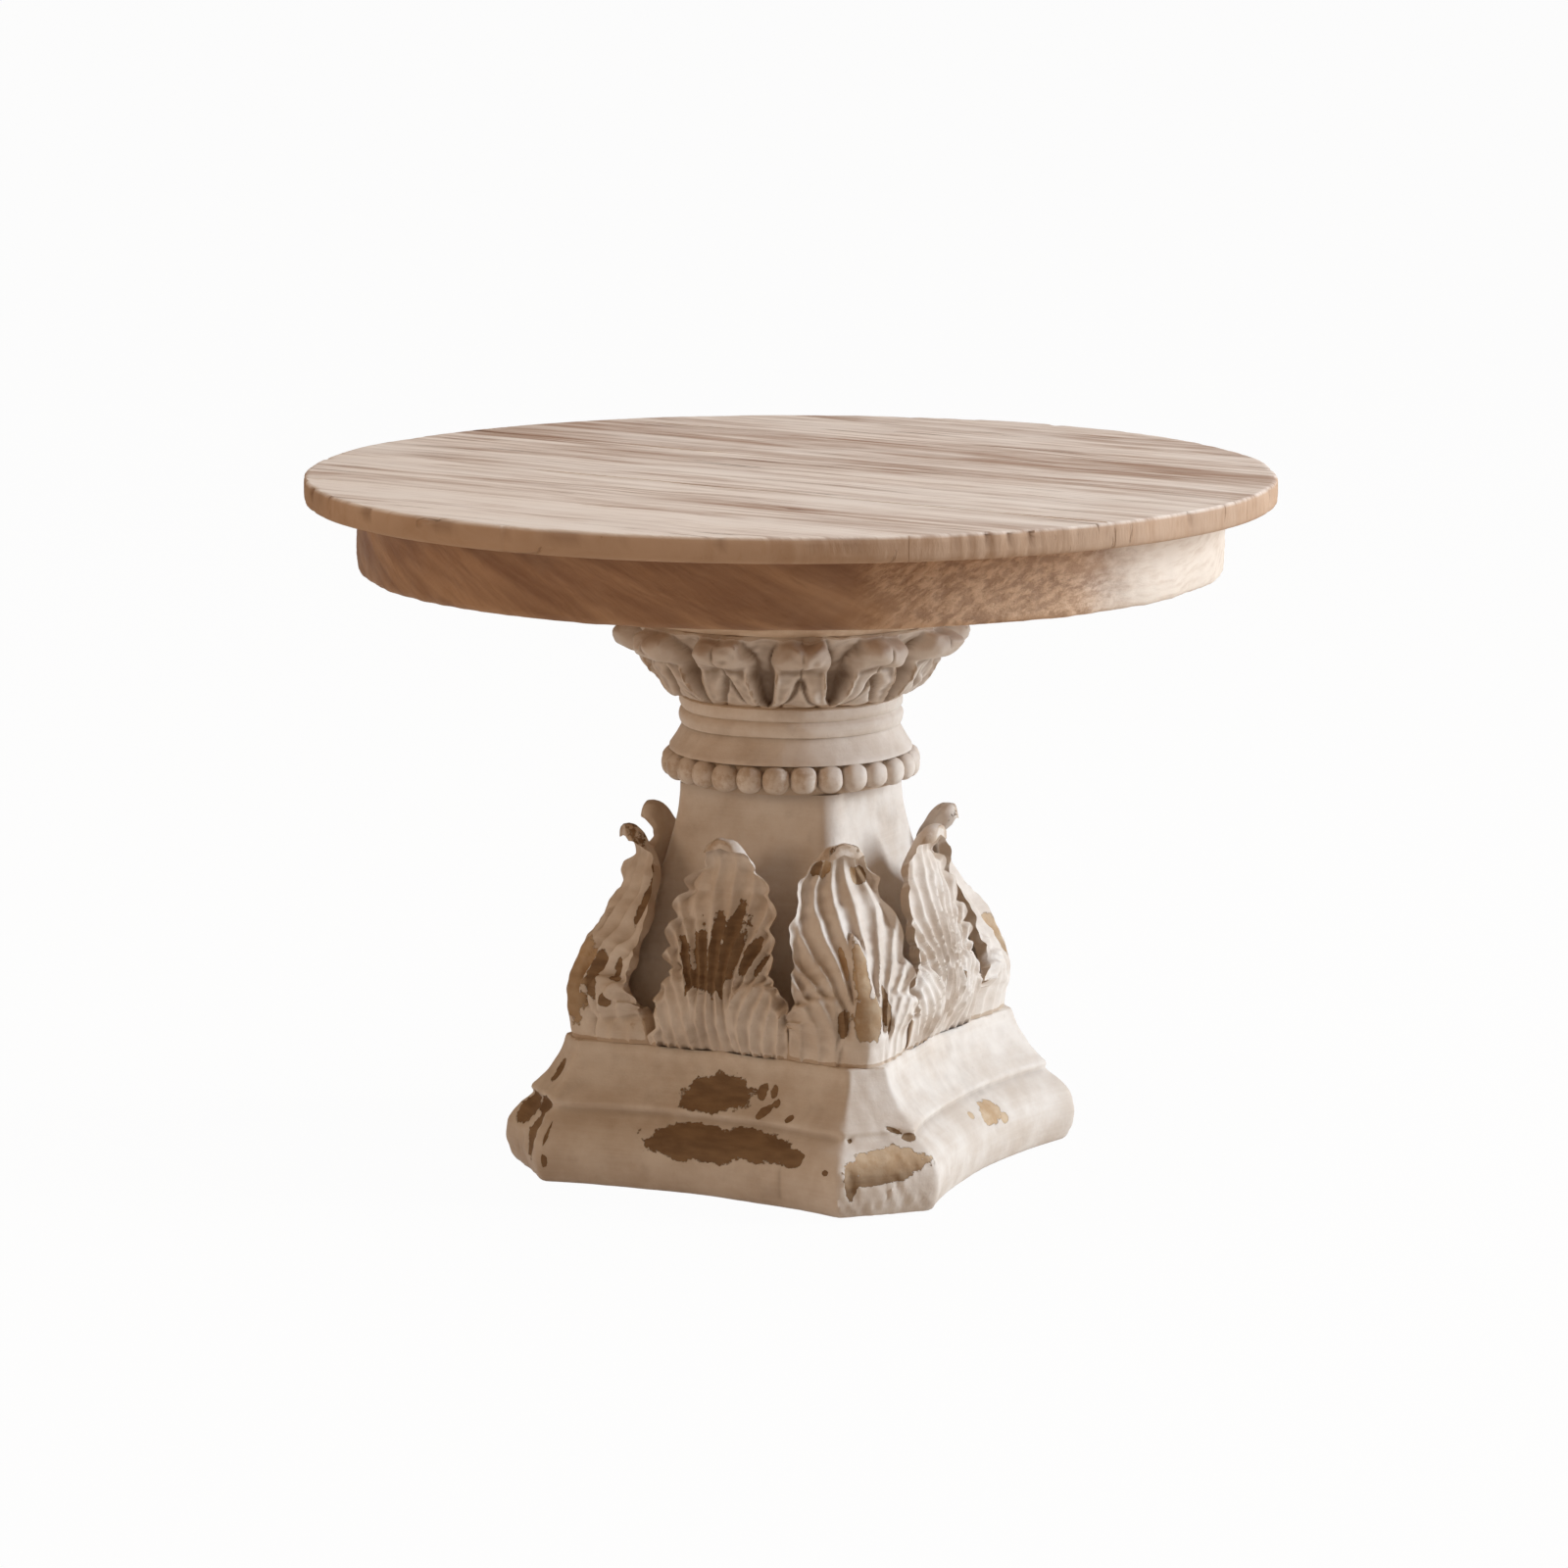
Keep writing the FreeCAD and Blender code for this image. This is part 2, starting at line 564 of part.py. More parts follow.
# Apron: turned drum that spreads the load from the boards to the abacus
apron = new_body("apron")
drum = "(Sizes.top_diameter / 2 - Sizes.top_overhang)"
screw_circle = f"({drum} - Sizes.board_screw_inset)"
soft = "Sizes.apron_edge_round"
insert_room = "(Sizes.insert_radius + Sizes.fit_gap / 2)"
insert_top = f"({abacus_top} + Sizes.insert_length)"
turn(apron, "apron_turning", [
    (insert_room, abacus_top), (f"({drum} - {soft})", abacus_top, soft), (drum, f"({abacus_top} + {soft})"),
    (drum, apron_top), ("Sizes.screw_radius", apron_top), ("Sizes.screw_radius", insert_top), (insert_room, insert_top)])
pilot = bore(apron, "abacus_pilot", [
    ("0", abacus_top), (screw_way, abacus_top),
    (screw_way, f"({screw_seat} + Sizes.abacus_screw_length + Sizes.fit_gap)"),
    ("0", f"({screw_seat} + Sizes.abacus_screw_length + Sizes.fit_gap)")], "Sizes.abacus_screw_circle")
ring_of(apron, pilot, "abacus_pilots", "Sizes.abacus_screw_count")
way = bore(apron, "board_screw_way", [
    ("0", abacus_top), (sunk_head, abacus_top),
    (screw_way, f"({abacus_top} + Sizes.screw_head_height)"), (screw_way, apron_top), ("0", apron_top)],
    screw_circle)
ring_of(apron, way, "board_screw_ways", "Sizes.board_screw_count")
board_screws = new_body("board_screws")
screw = turn(board_screws, "board_screw", screw_outline(abacus_top, "Sizes.board_screw_length"), screw_circle)
ring_of(board_screws, screw, "board_screw_ring", "Sizes.board_screw_count")

# Boards of the top: one turned disc, drilled from below, ripped along its glue joints
disc = new_body("round_top")
edge = "(Sizes.top_diameter / 2)"
bevel = "Sizes.top_edge_bevel"
turn(disc, "top_turning", [
    ("0", apron_top), (f"({edge} - {bevel})", apron_top), (edge, f"({apron_top} + {bevel})"),
    (edge, f"({board_top} - {bevel})"), (f"({edge} - {bevel})", board_top), ("0", board_top)])
pilot_top = f"({abacus_top} + Sizes.board_screw_length + Sizes.fit_gap)"
pilot = bore(disc, "board_pilot", [("0", apron_top), (screw_way, apron_top), (screw_way, pilot_top), ("0", pilot_top)],
             screw_circle)
ring_of(disc, pilot, "board_pilots", "Sizes.board_screw_count")
overhang = "Sizes.top_thickness"
start = f"(-{edge} - {overhang})"
boards = []
for index, board in enumerate(("front", "second", "middle", "fourth", "back")):
    width = f"(Sizes.{board}_board_share * Sizes.top_diameter)"
    if board == "front":
        width = f"({width} + {overhang})"
    if board == "back":
        width = f"({edge} + {overhang} - {start})"
    strip = doc.addObject("Part::Box", f"{board}_strip")
    strip.setExpression("Length", f"Sizes.top_diameter + 2 * {overhang}")
    strip.setExpression("Width", width)
    strip.setExpression("Height", f"Sizes.top_thickness + 2 * {overhang}")
    strip.setExpression("Placement.Base.x", f"-{edge} - {overhang}")
    strip.setExpression("Placement.Base.y", start)
    strip.setExpression("Placement.Base.z", f"{apron_top} - {overhang}")
    plank = doc.addObject("Part::Common", f"top_board_{index + 1}")
    plank.Label = f"top_board_{index + 1}"
    plank.Base = disc
    plank.Tool = strip
    plank.Placement = Placement(Vector(), top_turn)
    boards.append(plank)
    start = f"({start} + {width})"
for piece in (abacus, abacus_screws, apron, board_screws):
    piece.Placement = Placement(Vector(), top_turn)

# Tie rod with its nut and washer below and its insert in the apron
rod_foot = f"({counterbore_top} - Sizes.washer_thickness - Sizes.nut_height - Sizes.rod_spare)"
rod_top = f"({insert_top} - Sizes.rod_end_gap)"
tie_rod = doc.addObject("Part::Cylinder", "tie_rod")
tie_rod.setExpression("Radius", "Sizes.rod_diameter / 2")
tie_rod.setExpression("Height", f"{rod_top} - {rod_foot}")
tie_rod.setExpression("Placement.Base.z", rod_foot)
thread_room = "(Sizes.rod_diameter / 2 + Sizes.fit_gap / 4)"
insert = new_body("threaded_insert")
turn(insert, "insert_turning", [
    (thread_room, abacus_top), ("Sizes.insert_radius", abacus_top), ("Sizes.insert_radius", insert_top),
    (thread_room, insert_top)])
washer = new_body("rod_washer")
washer_foot = f"({counterbore_top} - Sizes.washer_thickness)"
turn(washer, "washer_turning", [
    (rod_hole, washer_foot), ("(Sizes.washer_diameter / 2)", washer_foot),
    ("(Sizes.washer_diameter / 2)", counterbore_top), (rod_hole, counterbore_top)])
nut_block = doc.addObject("Part::Prism", "nut_block")
nut_block.Polygon = 6
nut_block.setExpression("Circumradius", "Sizes.nut_width / sqrt(3)")
nut_block.setExpression("Height", "Sizes.nut_height")
nut_hole = doc.addObject("Part::Cylinder", "nut_hole")
nut_hole.setExpression("Radius", thread_room)
nut_hole.setExpression("Height", "Sizes.nut_height")
for piece in (nut_block, nut_hole):
    piece.setExpression("Placement.Base.z", f"{washer_foot} - Sizes.nut_height")
rod_nut = doc.addObject("Part::Cut", "rod_nut")
rod_nut.Base = nut_block
rod_nut.Tool = nut_hole
doc.recompute()

nodes = [plinth, felt_pads, shaft, collar, bead_ring, *leaves, capital, abacus, abacus_screws, apron, board_screws,
         *boards, tie_rod, insert, washer, rod_nut]
for item in doc.Objects:
    if "Invalid" in item.State or "Error" in item.State:
        raise RuntimeError(f"{item.Name} failed to build: {item.State}")
os.makedirs("parts", exist_ok=True)
for node in nodes:
    node.Label = node.Name
    shape = node.Shape
    if shape.isNull() or not shape.isValid() or shape.Volume <= 0:
        raise RuntimeError(f"{node.Label} is not a valid solid")
for node in nodes:
    node.Shape.exportStep(f"parts/{node.Label}.step")
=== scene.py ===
import math

import bmesh
import bpy
import numpy as np
from mathutils import Matrix, Vector


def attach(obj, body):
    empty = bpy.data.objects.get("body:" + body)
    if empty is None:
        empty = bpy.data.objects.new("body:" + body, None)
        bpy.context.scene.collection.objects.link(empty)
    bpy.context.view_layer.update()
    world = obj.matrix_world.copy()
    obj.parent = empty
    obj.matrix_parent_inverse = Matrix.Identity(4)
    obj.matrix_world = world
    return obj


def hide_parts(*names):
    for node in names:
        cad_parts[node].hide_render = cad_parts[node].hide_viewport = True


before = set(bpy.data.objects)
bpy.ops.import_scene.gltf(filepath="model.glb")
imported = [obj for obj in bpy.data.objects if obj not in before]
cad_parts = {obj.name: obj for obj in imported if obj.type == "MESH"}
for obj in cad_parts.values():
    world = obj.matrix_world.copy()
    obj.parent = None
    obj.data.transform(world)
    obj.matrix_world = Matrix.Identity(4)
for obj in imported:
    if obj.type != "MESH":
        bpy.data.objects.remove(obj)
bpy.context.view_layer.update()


# Felt pads: four discs of brown wool felt, punched from sheet and glued into shallow sockets under
# the corners of the plinth. They stand a millimetre proud, so that the stand doesn't mark a table.
MM = 0.001


class Shade:
    """An output in a finish's nodes. Sums on it add Math nodes."""

    def __init__(self, finish, plug):
        self.finish = finish
        self.plug = plug

    def sum(self, operation, *terms):
        return self.finish.node("Math", {"operation": operation}, dict(enumerate(terms)))

    def __add__(self, other):
        return self.sum("ADD", self, other)

    __radd__ = __add__

    def __sub__(self, other):
        return self.sum("SUBTRACT", self, other)

    def __rsub__(self, other):
        return self.sum("SUBTRACT", other, self)

    def __mul__(self, other):
        return self.sum("MULTIPLY", self, other)

    __rmul__ = __mul__

    def least(self, other):
        return self.sum("MINIMUM", self, other)

    def step(self, low, high):
        """From 0 below a low value to 1 above a high one, with soft ends."""
        sockets = {"Value": self, "From Min": low, "From Max": high}
        return self.finish.node("MapRange", {"interpolation_type": "SMOOTHSTEP"}, sockets)


class Finish:
    """A material or world made of nodes, on the shader that it starts with."""

    def __init__(self, name, group="materials"):
        self.data = getattr(bpy.data, group).new(name)
        self.data.use_nodes = True
        self.tree = self.data.node_tree
        self.shader = next(node for node in self.tree.nodes if node.type in ("BSDF_PRINCIPLED", "BACKGROUND"))

    def feed(self, socket, value):
        if isinstance(value, Shade):
            self.tree.links.new(value.plug, socket)
        else:
            socket.default_value = value

    def node(self, kind, settings, sockets, output=0):
        made = self.tree.nodes.new("ShaderNode" + kind)
        for name, setting in settings.items():
            setattr(made, name, setting)
        for key, value in sockets.items():
            self.feed(made.inputs[key], value)
        return Shade(self, made.outputs[output])

    def mottle(self, size, detail=3, roughness=0.55, turn=(0, 0, 0), distortion=0):
        """Uneven tone from 0 to 1 with spots of a size in millimetres, which may differ along each axis."""
        spot = self.node("TexCoord", {}, {}, "Object")
        scale = [side * MM for side in (size if isinstance(size, tuple) else (size,) * 3)]
        turned = [math.radians(angle) for angle in turn]
        sockets = {"Vector": spot, "Rotation": turned, "Scale": scale}
        place = self.node("Mapping", {"vector_type": "TEXTURE"}, sockets)
        sockets = {"Vector": place, "Scale": 1, "Detail": detail, "Roughness": roughness}
        return self.node("TexNoise", {}, sockets | {"Distortion": distortion})

    def mark(self, name):
        """A mark laid on the points of the mesh."""
        return self.node("Attribute", {"attribute_name": name}, {}, "Fac")

    def blend(self, share, first, second):
        """From a first colour to a second, by a share."""
        return self.node("Mix", {"data_type": "RGBA"}, {0: share, 6: first, 7: second}, 2)

    def relief(self, height, depth):
        return self.node("Bump", {}, {"Strength": 1, "Distance": depth * MM, "Height": height})

    def surface(self, **sockets):
        for name, value in sockets.items():
            self.feed(self.shader.inputs[name.replace("_", " ")], value)


def colour(red, green, blue):
    return (red, green, blue, 1)


def grid_faces(rows, columns, around=True, over=False):
    """Four-cornered faces of rows of points, closed round each row, or over from last row to first."""
    row, column = np.meshgrid(np.arange(rows if over else rows - 1),
                              np.arange(columns if around else columns - 1), indexing="ij")
    next_row, next_column = (row + 1) % rows, (column + 1) % columns
    corners = (row * columns + column, row * columns + next_column, next_row * columns + next_column,
               next_row * columns + column)
    return np.stack(corners, axis=-1).reshape(-1, 4)


def ripple(points, size, seed, waves=20):
    """Smooth unevenness, mostly from -1 to 1, with swells of about a size in millimetres."""
    chance = np.random.default_rng(seed)
    heading = chance.normal(size=(waves, 3))
    heading /= np.linalg.norm(heading, axis=1, keepdims=True)
    pitch = 2 * math.pi / size * chance.uniform(0.5, 1.3, (waves, 1))
    shift = chance.uniform(0, 2 * math.pi, waves)
    return np.sin(points @ (heading * pitch).T + shift).sum(axis=-1) / math.sqrt(waves / 1.2)


def make_piece(name, points, faces, finish, slot, *nodes, marks=None, crease=40):
    """Piece of the stand from points in millimetres, which stands for CAD nodes."""
    mesh = bpy.data.meshes.new(name)
    mesh.from_pydata((points.reshape(-1, 3) * MM).tolist(), [], faces.tolist())
    for mark, values in (marks or {}).items():
        layer = mesh.attributes.new(mark, "FLOAT", "POINT")
        layer.data.foreach_set("value", np.asarray(values, dtype=np.float32).ravel())
    shell = bmesh.new()
    shell.from_mesh(mesh)
    bmesh.ops.remove_doubles(shell, verts=shell.verts, dist=0.004 * MM)
    bmesh.ops.recalc_face_normals(shell, faces=shell.faces)
    shell.to_mesh(mesh)
    shell.free()
    mesh.shade_smooth()
    mesh.set_sharp_from_angle(angle=math.radians(crease))
    mesh.materials.append(finish.data)
    piece = bpy.data.objects.new(name, mesh)
    bpy.context.scene.collection.objects.link(piece)
    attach(piece, "root")
    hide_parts(*nodes)
    return piece


def turned(profile, segments):
    """Rings of points from a profile of radii and heights, as on a lathe."""
    profile = np.asarray(profile, float)
    angle = np.linspace(0, 2 * math.pi, segments, endpoint=False)
    radius, height = profile[:, :1], profile[:, 1:]
    return np.stack([radius * np.cos(angle), radius * np.sin(angle), height + 0 * angle], axis=-1)


felt = Finish("wool_felt")
fibre = felt.mottle(0.5, detail=5)
felt.surface(Base_Color=felt.blend(fibre, colour(0.10, 0.07, 0.05), colour(0.24, 0.18, 0.13)),
             Roughness=0.95, Normal=felt.relief(fibre, 0.3))
PAD_PLACE = 52
pad = turned([(0, 0), (4, 0), (8, 0.05), (8.8, 0.5), (9, 1.2), (9, 2.4), (8.6, 3), (4, 3), (0, 3)], 48)
pad[..., :2] *= 1 + 0.012 * ripple(pad, 3, 4)[..., None]
pad_faces = grid_faces(*pad.shape[:2])
pads = np.concatenate([pad.reshape(-1, 3) + (PAD_PLACE * across, PAD_PLACE * along, 0)
                       for across, along in ((1, 1), (-1, 1), (-1, -1), (1, -1))])
faces = np.concatenate([pad_faces + corner * pad.size // 3 for corner in range(4)])
make_piece("felt_pad_set", pads, faces, felt, "felt", "felt_pads")


# Plinth: one block of wood, sawn to a square with hollow sides and cut corners, with a cavetto over a
# bullnose run round it. It is painted cream over a brown ground, which shows where the paint has flaked.
PAINT = Finish("cream_paint")


def cream_paint(paint):
    """Chalky cream paint with soil and painted shade in its hollows, rubbed ridges and flakes that show
    the brown ground.
    """
    bare, soil_and_shade, rub, undercoat = [paint.mark(name) for name in ("bare", "soil_and_shade", "rub", "undercoat")]
    clouds = paint.mottle(17, detail=5, roughness=0.6)
    specks = paint.mottle(1.6, detail=4)
    ragged = paint.mottle(5.5, detail=6, roughness=0.62)
    strokes = paint.mottle((26, 26, 0.9), detail=3)
    cream = paint.blend(clouds.step(0.32, 0.68), colour(0.66, 0.55, 0.455), colour(0.81, 0.725, 0.645))
    cream = paint.blend(strokes.step(0.35, 0.8) * 0.2, cream, colour(0.84, 0.78, 0.71))
    stain = paint.mottle(13, detail=6, roughness=0.6).step(0.52, 0.74) * 0.2
    # Soil and painted shade in the hollows take the cream towards brown
    dirt_and_shade = (soil_and_shade * (0.55 + 0.6 * clouds) + specks.step(0.62, 0.8) * 0.12 + stain).least(0.92)
    cream = paint.blend(dirt_and_shade, cream, colour(0.30, 0.215, 0.155))
    worn = (rub + (ragged - 0.5) * 0.9 + (specks - 0.5) * 0.5).step(0.45, 0.75) * 0.75
    cream = paint.blend(worn, cream, colour(0.50, 0.355, 0.235))
    flake = (bare + (ragged - 0.5) * 0.62 + (specks - 0.5) * 0.22).step(0.48, 0.52)
    ground = paint.blend(paint.mottle((9, 9, 2.2), detail=4).step(0.3, 0.75), colour(0.20, 0.115, 0.055),
                         colour(0.30, 0.185, 0.095))
    chalky = paint.blend(ragged.step(0.35, 0.65), colour(0.52, 0.335, 0.185), colour(0.63, 0.465, 0.305))
    ground = paint.blend(undercoat, ground, chalky)
    height = specks * 0.3 + strokes * 0.08 + ragged * 0.3 - flake * 0.9
    paint.surface(Base_Color=paint.blend(flake, cream, ground), Roughness=0.62 + 0.16 * flake + 0.1 * dirt_and_shade,
                  Normal=paint.relief(height, 0.35))


cream_paint(PAINT)


def ramp(values):
    """Values held between 0 and 1."""
    return np.clip(values, 0, 1)


def swell(offset, width):
    """A smooth rise: 1 where there is no offset, and almost nothing two widths away."""
    return np.exp(-(offset / width) ** 2)


def run_of(stations, count):
    """Evenly spaced readings of a smooth curve through stations, placed by their first two numbers."""
    stations = np.asarray(stations, float)
    padded = np.vstack([2 * stations[0] - stations[1], stations, 2 * stations[-1] - stations[-2]])
    share = np.linspace(0, 1, 20, endpoint=False)[:, None]
    fine = [0.5 * (2 * here + (ahead - before) * share
                   + (2 * before - 5 * here + 4 * ahead - beyond) * share ** 2
                   + (3 * here - before - 3 * ahead + beyond) * share ** 3)
            for before, here, ahead, beyond in zip(padded, padded[1:], padded[2:], padded[3:])]
    fine = np.vstack(fine + [stations[-1:]])
    length = np.concatenate([[0], np.cumsum(np.linalg.norm(np.diff(fine[:, :2], axis=0), axis=1))])
    even = np.linspace(0, length[-1], count)
    return np.column_stack([np.interp(even, length, column) for column in fine.T])


def weather_and_shade(piece, rounds, hollow_depth, rub_height):
    """Marks a piece with soil and painted shade in its hollows and the rubbing on its ridges, from its
    own shape.
    """
    mesh = piece.data
    count = len(mesh.vertices)
    spots, normals = np.empty(count * 3), np.empty(count * 3)
    mesh.vertices.foreach_get("co", spots)
    mesh.vertex_normals.foreach_get("vector", normals)
    spots, normals = spots.reshape(-1, 3) / MM, normals.reshape(-1, 3)
    edges = np.empty(len(mesh.edges) * 2, dtype=np.int32)
    mesh.edges.foreach_get("vertices", edges)
    edges = edges.reshape(-1, 2)
    here, there = np.concatenate([edges, edges[:, ::-1]]).T
    neighbours = np.bincount(here, minlength=count)[:, None]
    even = spots.copy()
    for _ in range(rounds):
        around = np.column_stack([np.bincount(here, even[there, axis], count) for axis in range(3)])
        even = 0.4 * even + 0.6 * around / neighbours
    depth = ((even - spots) * normals).sum(axis=1)
    for mark, amount in (("soil_and_shade", depth / hollow_depth), ("rub", -depth / rub_height)):
        layer = mesh.attributes.get(mark) or mesh.attributes.new(mark, "FLOAT", "POINT")
        laid = np.zeros(count, dtype=np.float32)
        layer.data.foreach_get("value", laid)
        layer.data.foreach_set("value", ramp(amount + laid).astype(np.float32))


def patches(across, along, spots):
    """Bare patches, each with a place, two half sizes and a slope: 1 at its middle, a half at its edge."""
    bare = np.zeros(across.shape)
    for place, height, half_length, half_height, slope in spots:
        off = across - place
        rise = along - height - slope * off
        distance = np.sqrt((off / half_length) ** 2 + (rise / half_height) ** 2)
        bare = np.maximum(bare, ramp(1 - distance / 2))
    return bare


FACE_DISTANCE, CORNER_DISTANCE, HOLLOW_RADIUS = 50.6, 73.0, 211.0
PAD_REVEAL, PLINTH_TOP = 1, 43.5
ROD_HOLE, COUNTERBORE, COUNTERBORE_TOP = 4.5, 15, 13


def four_times(quarter):
    """Outline of a quarter and three more, each a quarter turn on."""
    ring = []
    for _ in range(4):
        ring.append(quarter)
        quarter = quarter @ np.array([[0, 1], [-1, 0]])
    return np.vstack(ring)


def plinth_ring(projection, height):
    """Outline of the plinth at a height, a projection out from its top edge."""
    centre = FACE_DISTANCE + HOLLOW_RADIUS
    radius = HOLLOW_RADIUS - projection
    half = math.acos((centre / math.sqrt(2) - CORNER_DISTANCE - projection) / radius) - math.pi / 4
    bend = np.linspace(-half, half, 100, endpoint=False)
    side = np.column_stack([centre - radius * np.cos(bend), radius * np.sin(bend)])
    arris = np.array([centre - radius * math.cos(half), radius * math.sin(half)])
    cut = arris + np.linspace(0, 1, 28, endpoint=False)[:, None] * (arris[::-1] - arris)
    ring = four_times(np.vstack([side, cut]))
    for _ in range(3):
        ring = 0.5 * ring + 0.25 * (np.roll(ring, 1, axis=0) + np.roll(ring, -1, axis=0))
    return np.column_stack([ring, np.full(len(ring), height)])


# Bullnose, quirk and cavetto: projection and height of the moulding
moulding = run_of([
    (14.4, PAD_REVEAL), (15.6, 1.4), (16.6, 3), (17.5, 5.5), (18.1, 8.5), (18.1, 12), (17.4, 15), (16, 17.8),
    (14.2, 20), (11.8, 22), (10.3, 23.3), (9.7, 24.1), (9.7, 24.8), (10.0, 25.5), (9.7, 26.5), (8.8, 27.4),
    (7.3, 29), (5.5, 31.2), (3.8, 33.9), (2.2, 36.8), (1.0, 39.8), (0.3, 42.2), (-0.2, 43.2),
    (-1, PLINTH_TOP)], 62)
rings = np.stack([plinth_ring(projection, height) for projection, height in moulding])
outline = rings[0]
bearing = np.arctan2(outline[:, 1], outline[:, 0])
outward = np.stack([np.cos(bearing), np.sin(bearing), 0 * bearing], axis=-1)
# Where each point lies along its side, and whether it is on a cut corner. Sides count round from the one
# at +X, and corners from the one that follows it
right_angle = math.pi / 2
turn_to_side = np.round(bearing / right_angle) * right_angle
along_side = -rings[..., 0] * np.sin(turn_to_side) + rings[..., 1] * np.cos(turn_to_side)
turn_to_corner = np.floor(bearing / right_angle) * right_angle + right_angle / 2
along_corner = -rings[..., 0] * np.sin(turn_to_corner) + rings[..., 1] * np.cos(turn_to_corner)
to_corner = rings[..., 0] * np.cos(turn_to_corner) + rings[..., 1] * np.sin(turn_to_corner)
on_corner = to_corner > CORNER_DISTANCE + moulding[:, :1] - 1.2
height = rings[..., 2]
side_number = np.round(bearing / right_angle).astype(int) % 4 + 0 * height.astype(int)
corner_number = np.floor(bearing / right_angle).astype(int) % 4 + 0 * height.astype(int)

# Bare patches by side and by corner: place along it, height, two half sizes and slope
bare = np.zeros(height.shape)
side_patches = {
    3: [(2.3, 31.8, 11.5, 5.6, 0.05), (-4, 29.5, 6, 3, 0.1), (17.5, 33.4, 1.8, 2.6, 0),
        (20.3, 28.4, 2.4, 1.6, 0.6), (21.6, 33.8, 1.2, 1.9, 0), (23.6, 30.8, 1.1, 1.3, 0),
        (29.6, 27.4, 1.4, 1, 0.4), (-1, 17.4, 17, 5.4, -0.02), (20, 18.9, 15, 4.0, -0.04),
        (34.6, 17.4, 4.4, 2.6, 0), (47.7, 15.1, 1.2, 0.8, 0), (-51, 17, 1.6, 5.2, 0.2),
        (-50.5, 8.4, 1.4, 2.2, 0)],
    0: [(8, 18.4, 6, 3.6, 0.1), (14.5, 15.5, 2.4, 1.6, 0), (-4, 20, 1.4, 1, 0)],
    1: [(-12, 16.5, 19, 4.6, 0.03), (24, 34, 9, 3.4, -0.1), (31, 30, 2, 1.6, 0), (-36, 17.6, 3, 2, 0)],
    2: [(18, 31.5, 12, 4.8, -0.05), (4, 29, 2, 2, 0), (-22, 15, 13, 4.2, 0.05), (-41, 18, 3.6, 2.4, 0)]}
for side, spots in side_patches.items():
    found = patches(along_side, height, spots)
    bare = np.where((side_number == side) & ~on_corner, np.maximum(bare, found), bare)
corner_patches = {
    3: [(0.8, 16.9, 13.5, 4.2, 0.03), (-3, 13.2, 9, 2.0, 0.05), (-12.0, 12.5, 1.8, 6.5, 0),
        (5, 25.8, 2.8, 0.8, -0.4), (9.6, 23.4, 2.2, 1.1, 0), (-9.4, 23.6, 0.9, 0.7, 0)],
    0: [(3, 21, 7, 3.4, 0), (-7, 9, 4, 5, 0)],
    1: [(-2, 18, 10, 4, 0.1), (6, 7, 3, 2, 0)],
    2: [(-6, 20, 6, 4.6, 0), (7.4, 13.5, 4.4, 7.5, 0), (0, 33, 2.4, 3.6, 0), (4, 23, 5, 2.6, 0)]}
for corner, spots in corner_patches.items():
    found = patches(along_corner, height, spots)
    bare = np.where((corner_number == corner) & on_corner, np.maximum(bare, found), bare)

brushed = ripple(rings * (1, 1, 0.35), 2.2, 31) * on_corner * ramp((22 - height) / 8)
# The left corner has been knocked round
near_corner = ramp(1 - abs(along_corner) / 26) * (corner_number == 2)
worn_corner = 2.6 * near_corner ** 0.7 * ramp((25 - height) / 6)
rings = rings + outward * (0.28 * ripple(rings, 34, 11) + 0.07 * ripple(rings, 6, 12) + 0.2 * brushed
                           - 0.8 * ramp(bare * 2.4 - 0.95) * on_corner - worn_corner)[..., None]


def bore_ring(outline, radius, height):
    """Ring round a hole, with a point for each one of an outline."""
    bearing = np.arctan2(outline[:, 1], outline[:, 0])
    return np.stack([radius * np.cos(bearing), radius * np.sin(bearing), height + 0 * bearing], axis=-1)[None]


top_inside = rings[-1:] * (0.55, 0.55, 1)
under = rings[:1] * (0.6, 0.6, 1)
hole = [bore_ring(outline, radius, level)
        for radius, level in ((ROD_HOLE, PLINTH_TOP), (ROD_HOLE, COUNTERBORE_TOP),
                              (COUNTERBORE, COUNTERBORE_TOP), (COUNTERBORE, PAD_REVEAL))]
loop = np.concatenate([rings, top_inside, *hole, under])
hidden = np.zeros((len(loop) - len(bare), bare.shape[1]))
bare = np.concatenate([bare, hidden])
# Chalky ground shows in the upper part of the front chip, and brown wood below it
chip_coat = ramp((height - 12) / 6.5) * (height < 22)
corner_coat = np.choose(corner_number, (0.42, 0.42, 0, 0.95 * chip_coat))
undercoat = np.concatenate([np.where(on_corner, corner_coat, side_number == 0), hidden])
# A drip below the long patch
drip = swell(along_side - 30.7, 0.9) * ramp((15 - height) / 2) * ramp((height - 3) / 2)
# The drip darkens the paint, and the front cut corner is made paler by painted light
soil_and_shade = 0.5 * drip * (side_number == 3) - 0.35 * on_corner * (corner_number == 3)
soil_and_shade = np.concatenate([soil_and_shade, hidden])
block = make_piece("painted_plinth", loop, grid_faces(*loop.shape[:2], over=True), PAINT, "cream_paint",
                   "plinth", marks={"bare": bare, "undercoat": undercoat, "soil_and_shade": soil_and_shade})
weather_and_shade(block, 14, 0.9, 14)


# Shaft: planed from one block, square with soft corners, flaring to its foot and drawn in under the
# beads. A spigot below locates it in the plinth, and the tie rod runs through it.
SHAFT_TOP, SHAFT_COLUMNS = 122.5, 200
